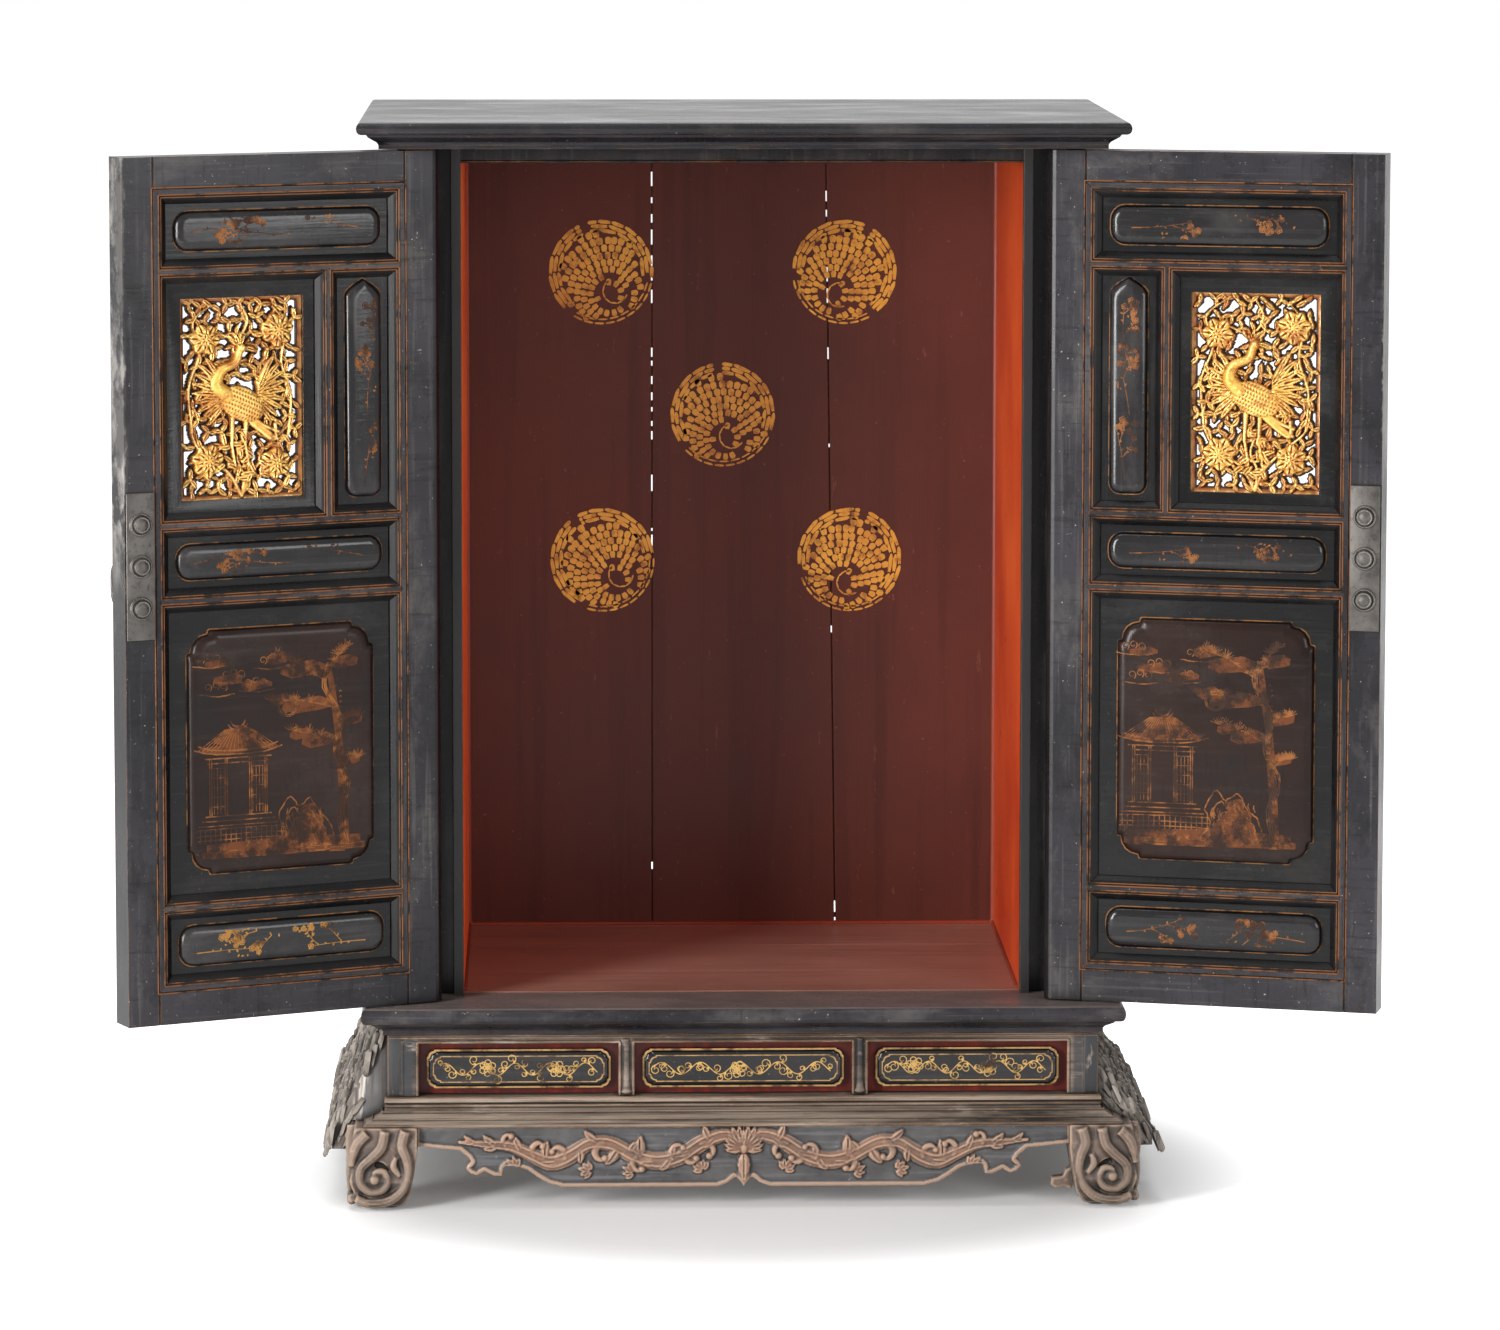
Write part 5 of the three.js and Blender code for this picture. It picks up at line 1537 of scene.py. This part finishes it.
# %% Outline and scroll of the apron
apron_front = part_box("front_apron")[0].y
apron_half, apron_lift, apron_high = 272.7, 18.0, 51.7
apron_shares = [
    (1, 0.68), (0.87, 0.61), (0.845, 0.5), (0.838, 0.43), (0.855, 0.33), (0.84, 0.235), (0.82, 0.195),
    (0.797, 0.27), (0.765, 0.19), (0.742, 0.19), (0.737, 0.33), (0.73, 0.37), (0.7, 0.35), (0.662, 0.28),
    (0.63, 0.16), (0.6, 0.065), (0.555, 0), (0.08, 0), (0.05, 0.06), (0.03, 0.15), (0.018, 0.14), (0, 0.01),
]
apron_stem = [
    (2, 40, 1.0), (16, 44, 1.2), (34, 38, 1.5), (52, 27, 1.6), (72, 22, 1.6), (92, 27, 1.5), (112, 37, 1.4),
    (130, 37, 1.3), (146, 27, 1.6), (162, 22, 1.6), (178, 28, 1.3), (194, 35, 1.1), (214, 37, 0.8),
    (238, 39, 0.3),
]
# curls by (u, v, angle, radius, sweep, hand, width), and leaves by (u, v, angle, length, width)
apron_curls = (
    (118, 38, -0.1, 9.5, 3.7, -1, 8.5), (36, 37, 2.7, 9, 3.3, 1, 7.5), (60, 24, 0.9, 9, 3.3, 1, 7),
    (90, 26, -0.5, 8, 3.4, -1, 7.5), (150, 25, 1.9, 8.5, 3.3, -1, 7.5), (176, 27, 0.8, 8, 3.5, 1, 7.5),
    (200, 36, 0.7, 6.5, 3.4, 1, 6), (50, 28, -1.4, 7.5, 3.2, -1, 7),
)
apron_leaves = (
    (86, 25, 1.3, 19, 11), (84, 26, 0.6, 14, 8), (62, 24, -1.1, 13, 9), (44, 31, -0.5, 16, 8),
    (106, 33, -1.2, 17, 10), (122, 39, 0.4, 15, 8), (156, 22, -0.3, 15, 8), (166, 24, 1.4, 16, 9),
    (186, 31, 0.9, 14, 8), (206, 36, 0.35, 15, 7), (206, 36, -0.5, 13, 7), (224, 38, 0.3, 13, 5),
    (74, 21, -0.2, 16, 8), (138, 33, -1.9, 13, 8), (28, 40, 0.9, 14, 8), (96, 29, 1.9, 12, 7),
    (60, 25, 1.5, 12, 7), (24, 42, -0.9, 15, 7),
)


print("apron curls:", len(apron_curls), "leaves:", len(apron_leaves))

# %% Lay the scroll on half of the apron
def inside_outline(board, outline):
    """Which squares lie inside, by counting the outline's edges that each one sees."""
    inside = np.zeros(board.u.shape, bool)
    for (u0, v0), (u1, v1) in zip(outline, outline[1:] + outline[:1]):
        crosses = (v0 > board.v) != (v1 > board.v)
        where = (u1 - u0) * (board.v - v0) / (v1 - v0 + 1e-12) + u0
        inside ^= crosses & (board.u < where)
    return inside


def apron_relief(edge):
    """The ground and the bead along the edge, then the scroll, its leaves and the palmette."""
    board = Carving(apron_half, apron_high, 0.9)
    away = np.full(board.u.shape, 99.0)
    for first, second in zip(edge, edge[1:]):
        away = np.minimum(away, board.beside(*first, *second)[1])
    board.lay(True, 1.0)
    board.lay(away < 4.2, 1.0 + 1.7 * np.sqrt(np.clip(1 - ((away - 2.1) / 2.2) ** 2, 0, 1)))
    board.branch(curve_points(apron_stem), 10.2, 4.0)
    for side_step in (-1.9, 1.9):
        rib = [(u, v + side_step * 1.3 * s, s * 0.3) for u, v, s in apron_stem]
        board.branch(curve_points(rib), 7.0, 4.7)
    for *curl, wide in apron_curls:
        line = spiral(*curl, 0.3, 14)
        board.branch(line, wide, 4.5)
        board.dome(*line[-1][:2], 3.6, 5.6)
    for leaf in apron_leaves:
        board.leaf(*leaf, 4.9, 0.25)
    for k in range(8):
        board.leaf(0, 33, math.radians(-14 + 17 * k), 21 - 1.2 * abs(k - 4), 7.5, 5.4, 0.12)
    board.dome(0, 33, 6.0, 6.2)
    board.leaf(0, 30, math.radians(-90), 27, 11, 5.2)
    board.dome(0, 9, 6.5, 4.8)
    for u, v, turn in ((128, 14, 0.2), (34, 14, 1.0), (92, 12, 0.5), (190, 17, 0.7)):
        for k in range(5):
            board.leaf(u, v, turn + 0.55 * (k - 2), 12 - 1.5 * abs(k - 2), 5.4, 3.9)
    board.height = board.height + 0.4 * board.wobble(0.12, 3.0)
    return board


apron_edge = [(a * apron_half, b * apron_high) for a, b in apron_shares]
beyond_end, beyond_top = apron_half + 5, apron_high + 5
apron_outline = apron_edge + [
    (-5, 0.01 * apron_high), (-5, beyond_top), (beyond_end, beyond_top), (beyond_end, 0.68 * apron_high)]
board = apron_relief(apron_edge)
inside = inside_outline(board, apron_outline)
print("apron squares inside:", int(inside.sum()), "of", inside.size)

# %% Carve the apron
def merge_points(piece, reach):
    take(piece)
    edit_all()
    bpy.ops.mesh.remove_doubles(threshold=reach)
    bpy.ops.object.mode_set(mode="OBJECT")


# ochre wood on the raised scroll, black lacquer with a slate bloom on the ground
f = Bench("apron lacquer and ochre wood", 0.5)
high = f.node("Attribute", attribute_name="carved_height")["Fac"]
cloud = f.noise(30, 6, (0.5, 1, 1), 0.65)
chip = f.noise(120, 6, shift=2, rough=0.7)
streak = f.noise(190, 3, level_grain, shift=5)
f.base = f.blend(cloud, "#29282a", "#5a5857")
f.coat("#7c7b7e", streak, 0.5, 0.7, 0.5)
f.coat("#a8a5a3", chip, 0.64, 0.72, 0.8)
ground = f.base
f.base = f.blend(cloud, "#6c4a38", "#92705c")
f.coat("#4b382c", streak, 0.48, 0.7, 0.5)
f.coat("#c2aa92", chip, 0.6, 0.7, 0.5)
f.coat("#5b4a40", f.noise(38, 5, shift=9), 0.50, 0.60, 0.6)
raised = f.plus(high, f.times(f.math("SUBTRACT", cloud, 0.5), 0.25))
ridge = f.hollow(0.47, 0.53)
f.base = f.mix(f.range(raised, 0.24, 0.40), ground, f.base)
# painted shade darkens the hollows, and a painted highlight lightens the ridges
f.coat("#1f1a17", ridge, 0.0, 0.4, 0, 0.6)
f.coat("#b3937c", ridge, 0.62, 0.95, 0.75)
apron_wood = f.done((chip, 0.3, 0.7, 0.38, 0.7), f.plus(chip, streak), 0.35 * MM)

half_apron = relief(
    "half_apron", board, (0, apron_lift), -1.2, -13.9, lambda rows, columns: inside[rows, columns].sum() < 3)
apron_place = facing_front(apron_front)
apron_halves = [(half_apron, apron_place), (half_apron, apron_place @ Matrix.Diagonal((-1, 1, 1, 1)))]
carved_apron = gather("carved_apron", apron_halves)
store_height(carved_apron, (apron_front - spots(carved_apron)[:, 1]) / (5 * MM))
merge_points(carved_apron, 0.02 * MM)
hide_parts("front_apron")
settle(carved_apron, "cabinet", "worn_wood", apron_wood, angle=60)
discard(half_apron)
print("apron faces:", len(carved_apron.data.polygons))

# %% [markdown]
# ## Scroll feet
# A front foot is a block sawn to a scroll outline and carved with a volute on its front and its outer
# side. The CAD foot gives the sawn block. A copy of it is merged, the scrolls are drawn over it as
# thick tapering strokes, and a voxel remesh fuses them as if all were cut from one piece of wood.

# %% Wood of the feet
# ochre-brown wood, with painted shade in the hollows, and pale on the ridges: rubbed wear and a painted
# highlight
f = Bench("carved foot wood", 0.6)
ridge = f.hollow(0.46, 0.54)
cloud = f.noise(38, 5)
chip = f.noise(150, 6, rough=0.7, shift=3)
f.base = f.blend(cloud, "#53433a", "#806c5f")
f.coat("#b3a091", chip, 0.55, 0.7, 0.6)
f.coat("#34291f", f.noise(24, 5, shift=8), 0.52, 0.62, 0.6)
# painted shade: darker in the hollows and grooves
f.coat("#1d1612", ridge, 0.1, 0.48, 0, 0.8)
f.lay("#15110e", f.painted_shade_in_hollows(10 * MM), 0.9)
# pale ridges: rubbed wear and a painted highlight
f.coat("#ab937f", ridge, 0.58, 0.9, 0.7)
carved_wood = f.done((chip, 0.3, 0.7, 0.45, 0.75), f.plus(chip, cloud), 0.4 * MM)

print("foot wood mixed")

# %% Carve the front feet
# strokes on a show face of the foot: u from its inner edge outwards, v up, share of the width
foot_strokes = [
    [(38, 27, 0.9), (35, 33, 1.1), (28, 33, 1.2), (25, 25, 1.3), (30, 18, 1.4), (40, 17, 1.5), (48, 25, 1.6),
     (47, 37, 1.7), (38, 46, 1.8), (30, 55, 1.9), (27, 68, 1.7)],
    [(10, 68, 1.8), (13, 56, 1.9), (9, 44, 1.7), (8, 31, 1.5), (13, 18, 1.6), (24, 9, 1.7), (40, 7, 1.7),
     (52, 11, 1.3)],
    [(18, 46, 0.8), (20, 38, 1.3), (15, 30, 0.9)],
    [(42, 66, 1.7), (50, 58, 1.9), (54, 47, 1.5), (55, 38, 0.9)],
]


def apply_modifier(piece, kind, **settings):
    modifier = piece.modifiers.new(kind.lower(), kind)
    for key, value in settings.items():
        setattr(modifier, key, value)
    bpy.ops.object.modifier_apply(modifier=modifier.name)


for side, sign in (("left", -1), ("right", 1)):
    node = frame["nodes"][side + "_front_leg"]
    lowest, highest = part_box(side + "_front_leg")
    inner_x = sign * 273 * MM
    block = node.copy()
    block.data = node.data.copy()
    block.name = side + "_carved_foot"
    block.data.materials.clear()
    bpy.context.scene.collection.objects.link(block)
    merge_points(block, 0.01 * MM)
    on_front = lambda u, v, proud: (inner_x + sign * u * MM, lowest.y + proud * MM, v * MM)
    on_outer = lambda u, v, proud: (inner_x + sign * proud * MM, highest.y - u * MM, v * MM)
    scroll_lines = []
    for face, proud in ((on_front, 1.6), (on_outer, 55.4)):
        for line in foot_strokes:
            scroll_lines.append([(*face(u, v, proud), share) for u, v, share in curve_points(line, 6)])
    parts = [line_work(side + "_foot_scrolls", scroll_lines, 2.7 * MM, sides=2)]
    for place in (on_front(36, 27, 2.5), on_outer(36, 27, 54.5)):
        parts.append(start("eye", bpy.ops.mesh.primitive_uv_sphere_add, segments=20, ring_count=12,
                           radius=5.2 * MM, location=place))
    take(block)
    for part in parts:
        part.select_set(True)
    bpy.ops.object.join()
    apply_modifier(block, "REMESH", mode="VOXEL", voxel_size=1.15 * MM)
    apply_modifier(block, "SMOOTH", iterations=2, factor=0.5)
    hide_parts(side + "_front_leg")
    settle(block, "cabinet", "worn_wood", carved_wood, angle=80)
    print(block.name, "faces:", len(block.data.polygons))

# %% [markdown]
# ## Splintered flanks
# The stand's sides are torn, weathered wood, with long splinters that overlap like shingles and point
# down and outwards. One splinter is modelled as a tapering wedge of a few faces, and rows of copies
# are laid down the slope, each turned and stretched a little by seeded chance.

# %% Grey wood of the splinters
f = Bench("splintered grey wood", 0.8)
streak = f.noise(260, 3, (1, 1, 0.08))
cloud = f.noise(24, 5, shift=1)
f.base = f.blend(cloud, "#665e57", "#b5aba1", 0.35, 0.65)
f.coat("#3f3732", streak, 0.5, 0.7, 0.85)
f.coat("#b3a89d", f.noise(90, 4, shift=5), 0.62, 0.72, 0.7)
# painted shade: darker in the gaps under and between the splinters
f.lay("#171311", f.painted_shade_in_hollows(8 * MM))
grey_splinters = f.done(None, f.plus(streak, cloud), 0.6 * MM)

print("splinter wood mixed")

# %% Lay the splinters
wedge = [(0.5, 0.2), (0.42, 1.0), (-0.42, 1.0), (-0.5, 0.25), (-0.16, 0.06), (0.1, -0.02)]
splinter = drawn_plate("splinter", wedge, 0.45, [(0.12, 0.4)])
flank_lowest, flank_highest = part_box("right_flank")
flank_start, flank_deep = flank_lowest.y / MM, (flank_highest.y - flank_lowest.y) / MM
# the wedge's length runs up the slope and its thickness faces outwards
stand = Matrix(((0, 0, 1, 0), (1, 0, 0, 0), (0, 1, 0, 0), (0, 0, 0, 1)))


def flank_surface(sign, z):
    """How far out the flank's slope is at a height, in mm."""
    return 301.5 + (145.1 - z) * 0.508 if sign < 0 else 298.5 + max(0.0, 118 - z) * 0.785


def splinter_size(chance, *ranges):
    """A width, a length and a thickness, drawn in that order."""
    return sized(*[chance.uniform(*limits) for limits in ranges])


for side, sign, seed, slope, top in (("left", -1, 21, 27, 138), ("right", 1, 22, 36, 112)):
    chance = random.Random(seed)
    parts = []
    lean = math.radians(slope)
    mirror = Matrix.Diagonal((sign, 1, 1, 1))
    for level in range(10):
        z_row = top - (top - 52) * level / 9
        for k in range(44):
            share = (k + chance.uniform(0.05, 0.95)) / 44
            y = flank_start - 1.2 + flank_deep * share * 0.99
            z = z_row + chance.uniform(-5, 5)
            x = flank_surface(sign, z) - 0.8 + chance.uniform(-0.8, 2.4)
            tilt = Matrix.Rotation(-lean + math.radians(chance.uniform(6, 20)), 4, "Y")
            roll = Matrix.Rotation(math.radians(chance.uniform(-14, 14)), 4, "X")
            size = splinter_size(chance, (6, 11), (17, 26), (3.4, 6.0))
            parts.append((splinter, mirror @ at(x, y, z - 12) @ roll @ tilt @ stand @ size))
    # the front end shows broken layers beside its pale edge
    for level in range(9):
        z = (top - 10) - (top - 68) * level / 8
        for k in range(5):
            x = flank_surface(sign, z) - 2.5 - 5.5 * k + chance.uniform(-1.5, 1.5)
            if x < (341 - 0.15 * z if sign < 0 else 303):
                continue
            turn = Matrix.Rotation(lean + math.radians(chance.uniform(-16, 10)), 4, "Y")
            size = splinter_size(chance, (3.4, 5.6), (15, 24), (2.0, 4.6))
            foot = Matrix.Translation((x * MM, flank_lowest.y + chance.uniform(0.4, 1.2) * MM, (z - 12) * MM))
            parts.append((splinter, mirror @ foot @ turn.inverted() @ facing_front(0) @ size))
    piece = gather(side + "_flank_splinters", parts)
    settle(piece, "cabinet", "raw_wood", grey_splinters, angle=20)
    reach = np.abs(spots(piece)[:, 0]).max()
    print(piece.name, len(parts), "splinters, reach", round(reach / MM, 1), "mm")
discard(splinter)

# %% [markdown]
# ## Gold painting on the door fields
# The low fields carry sprays of blossom in thin reddish gold, much of it rubbed away, and the large
# fields carry a scene. The painter's stroke is thin, swells and thins again, so each one is a curve
# with a width at every point. The scenes here are plain garden scenes of this lesson's own: a pine, a
# rock, a pavilion by a fence and low clouds.

# %% Sprays of blossom
def sprig(u, v, angle, long, chance, lines, depth=0):
    """A bent twig with leaves, a blossom at its end and smaller twigs on the way."""
    steps = 7
    bend = chance.uniform(-0.5, 0.5)
    twig = []
    for step in range(steps + 1):
        t = step / steps
        way = angle + bend * t
        twig.append((u, v, 1.0 - 0.55 * t))
        if step == steps:
            break
        u, v = polar(u, v, long / steps, way)
        if step in (2, 4, 5) and depth < 2:
            turn = chance.choice((-1, 1)) * chance.uniform(0.5, 1.0)
            sprig(u, v, way + turn, long * chance.uniform(0.35, 0.5), chance, lines, depth + 1)
        if step > 0 and chance.random() < 0.8:
            turn = way + chance.choice((-1, 1)) * chance.uniform(0.6, 1.2)
            size = chance.uniform(2.0, 3.4)
            middle, tip = polar(u, v, size * 0.5, turn), polar(u, v, size, turn)
            lines.append([(u, v, 0.3), (*middle, 2.0), (*tip, 0.3)])
    lines.append(twig)
    lines.extend(petals(u, v, chance.uniform(1.8, 2.9), 5, chance.uniform(0, 1)))


def spray(box, seed, upright):
    """Three sprigs that run along the field, without the lines that leave it."""
    chance = random.Random(seed)
    u0, u1, v0, v1 = box
    lines = []
    if upright:
        for share in (0.06, 0.36, 0.62):
            u = (u0 + u1) / 2 + chance.uniform(-3, 3)
            way = math.radians(chance.uniform(75, 105))
            sprig(u, v0 + (v1 - v0) * share, way, (v1 - v0) * 0.25, chance, lines)
    else:
        for share, ways in ((0.1, (-4, 16)), (0.45, (-4, 16)), (0.93, (164, 184))):
            way = math.radians(chance.uniform(*ways))
            v = v0 + (v1 - v0) * chance.uniform(0.3, 0.5)
            sprig(u0 + (u1 - u0) * share, v, way, (u1 - u0) * 0.27, chance, lines)
    fits = lambda u, v: u0 + 5.5 < u < u1 - 5.5 and v0 + 4.5 < v < v1 - 4.5
    return [line for line in lines if all(fits(u, v) for u, v, _ in line)]


print("strokes in one spray:", len(spray(fields["frieze"], 1, False)))

# %% Pine and rock
def wavy(points, chance, drift=0.6, share=1.0):
    """A smooth line through the points, with an unsteady hand."""
    line = curve_points([(u, v, 1) for u, v in points], 5)
    return [(u + chance.uniform(-drift, drift), v + chance.uniform(-drift, drift), share) for u, v, _ in line]


def pine(chance):
    """A trunk with bark strokes, and boughs with fans of needles."""
    lines = []
    trunk = [(26, 14), (30, 40), (24, 66), (34, 92), (30, 120), (44, 146), (40, 166)]
    for drift in (-3.2, -1.1, 1.0, 3.0):
        side_line = enumerate(wavy(trunk, chance, 0.5))
        lines.append([(u + drift * (1 - 0.5 * k / 30), v, 1.1) for k, (u, v, _) in side_line])
    for u, v in [(27 + 0.1 * k + chance.uniform(-3, 3), 18 + 4.4 * k) for k in range(30)]:
        lines.append([(u, v, 0.6), (u + 1.6, v + 1.2, 1.0), (u + 2.6, v - 0.4, 0.5)])
    boughs = (
        (32, 96, 0.35, 46), (34, 128, 0.15, 60), (42, 150, 0.5, 50), (28, 76, 2.6, 18), (40, 156, 2.2, 26),
        (32, 112, 2.7, 20),
    )
    for u, v, angle, long in boughs:
        end_u, end_v = polar(u, v, long, angle)
        bough = wavy([(u, v), ((u + end_u) / 2, (v + end_v) / 2 + 3), (end_u, end_v)], chance, 0.5, 1.2)
        lines.append(bough)
        for bu, bv, _ in bough[2::2]:
            for k in range(9):
                turn = math.radians(20 + 17 * k + chance.uniform(-6, 6))
                lines.append([(bu, bv, 0.9), (*polar(bu, bv, chance.uniform(5, 8), turn), 0.5)])
    return lines


def rock(chance):
    """Broken outlines inside each other, with short strokes between them."""
    lines = []
    rim = [(-26, 0), (-22, 16), (-12, 26), (-4, 38), (6, 32), (14, 40), (24, 26), (20, 12), (28, 0)]
    for shrink in (1.0, 0.78, 0.55, 0.34):
        lines.append(wavy([(62 + u * shrink, 16 + v * shrink) for u, v in rim], chance, 0.8, 1.2))
    for _ in range(34):
        u, v = 62 + chance.uniform(-20, 20), 18 + chance.uniform(0, 24)
        lines.append([(u, v, 0.7), (u + 1.5, v + 3.5, 1.2), (u + 1.0, v + 6, 0.5)])
    return lines


print("strokes of a pine:", len(pine(random.Random(1))), "and a rock:", len(rock(random.Random(1))))

# %% Pavilion, ground and sky
def pavilion(chance):
    """Posts, steps, lattice and a sweeping roof with tile lines."""
    lines = [[(u + drift, v, 1.0) for v in (44, 92)] for u in (98, 112, 134, 148) for drift in (-0.9, 0.9)]
    for v, reach in ((44, 30), (40, 33), (36, 36), (92, 30), (88, 28)):
        lines.append([(123 - reach, v, 1.1), (123 + reach, v, 1.1)])
    for level, reach in ((96, 40), (99, 36), (116, 9), (119, 7)):
        eave = [(-1, level + 4), (-0.6, level), (0, level - 1), (0.6, level), (1, level + 4)]
        lines.append(wavy([(123 + reach * share, v) for share, v in eave], chance, 0.2, 1.3))
    for k in range(-9, 10):
        lines.append([(123 + 4.1 * k, 97 + 0.02 * k * k, 0.7), (123 + 1.2 * k, 116, 0.7)])
    for u in (101, 104, 107, 110, 136, 139, 142, 145):
        lines.append([(u, 46, 0.6), (u, 84, 0.6)])
    for v in (52, 60, 68, 76, 84):
        lines += [[(u, v, 0.6), (u + 12, v, 0.6)] for u in (99, 135)]
    return lines


def ground_and_sky(chance):
    """A fence, ground strokes and tufts of grass; rows of small cloud curls and a sun behind the roof."""
    lines = [[(84 + 4.6 * k, v, 0.8) for v in (22, 34)] for k in range(17)]
    for v in (24, 28, 33):
        lines.append(wavy([(82, v), (120, v + 0.6), (160, v)], chance, 0.25, 0.9))
    for _ in range(26):
        u, v = chance.uniform(8, 150), chance.uniform(8, 15)
        middle = (u + chance.uniform(5, 12), v + chance.uniform(-0.6, 0.6), 0.9)
        lines.append([(u, v, 0.5), middle, (u + 14, v, 0.4)])
    for _ in range(18):
        u, v = chance.uniform(6, 158), chance.uniform(10, 20)
        lines += [[(u, v, 0.9), (*polar(u, v, 5, math.radians(55 + 24 * k)), 0.4)] for k in range(4)]
    for u, v in ((98, 150), (118, 158), (134, 148), (84, 168), (140, 172)):
        for k in range(3):
            curl_at = (u + 7 * k, v + 1.4 * (k % 2))
            lines.append(spiral(*curl_at, math.radians(160), 3.6, math.radians(420), -1))
        lines.append(wavy([(u - 8, v - 3), (u + 6, v - 4.5), (u + 24, v - 2.6)], chance, 0.4, 1.0))
    return lines + [circle(78, 132, radius, 14, 0.9) for radius in (9, 7.6)]


def garden(seed):
    """A scene in a field of 165 by 202 mm."""
    chance = random.Random(seed)
    return pine(chance) + rock(chance) + pavilion(chance) + ground_and_sky(chance)


print("strokes in one scene:", len(garden(1)))

# %% Washes under the scene
# roof, trunk, pine clumps, clouds and rock as (u, v, length, share), under the drawing
wash_marks = (
    (62, 24, 38, 1.7), (60, 34, 28, 1.4), (60, 44, 16, 1.1), (123, 100, 66, 0.8), (123, 107, 44, 0.9),
    (123, 114, 22, 0.8), (50, 102, 30, 1.2), (66, 108, 20, 0.9), (60, 132, 44, 1.3), (84, 138, 20, 1.0),
    (64, 162, 40, 1.4), (86, 172, 22, 1.0), (22, 84, 20, 1.1), (22, 118, 24, 1.2), (26, 166, 24, 1.2),
    (106, 151, 28, 0.8), (132, 157, 26, 0.9), (140, 171, 24, 0.7), (78, 132, 9, 1.2),
)


def washes():
    """Broad worn strokes: the ground first, then the marks, then the trunk."""
    lines = []
    for v, reach in ((12, 74), (18, 70)):
        lines.append([(82 - reach, v, 0.6), (82, v + 1, 1.0), (82 + reach, v, 0.6)])
    for u, v, long, share in wash_marks:
        lines.append([(u - long / 2, v, share * 0.5), (u - long / 4, v + 1, share),
                      (u + long / 4, v - 1, share), (u + long / 2, v, share * 0.5)])
    return lines + [[(26, 14, 0.9), (28, 60, 0.8), (32, 110, 0.7), (40, 164, 0.5)]]


print("washes under one scene:", len(washes()))

# %% Lay the painting on the fields
def in_field(lines, box, mirrored):
    """Moves a scene into its field. The right door has it mirrored."""
    return [
        [(box[0] + 2 + (161 - u if mirrored else u) * 0.98, box[2] + 4 + v, share) for u, v, share in line]
        for line in lines
    ]


painted_face = field_top + 0.02 * MM
golds = (
    ("worn gold painting", "#905a2e", "#3a2417", 0.47),
    ("worn gold wash", "#65391f", "#2a1a12", 0.44),
    ("bright spray", "#a8783c", "#4a2f1c", 0.38),
)
for number, side in enumerate(hang):
    door_gold, door_wash, bright_spray = [
        gold_line(f"{side} door {kind}", *look, **square_on[side]) for kind, *look in golds]
    for panel, box in fields.items():
        finish = bright_spray if side == "left" and panel == "foot" else door_gold
        lines, stroke_radius = spray(box, 7 * number + len(panel), panel == "narrow"), 0.46 * MM
        if panel == "picture":
            lines, stroke_radius = in_field(garden(31 + number), box, number), 0.5 * MM
            broad = lift(in_field(washes(), box, number), field_top)
            gild(line_work(side + "_picture_wash", broad, 4.6 * MM, flat=0.02), side, door_wash)
        painting = line_work(f"{side}_{panel}_painting", lift(lines, painted_face), stroke_radius, flat=0.28)
        gild(painting, side, finish)
print("paintings:", 2 * len(fields))

# %% The view transform
bpy.context.scene.view_settings.view_transform = "Standard"
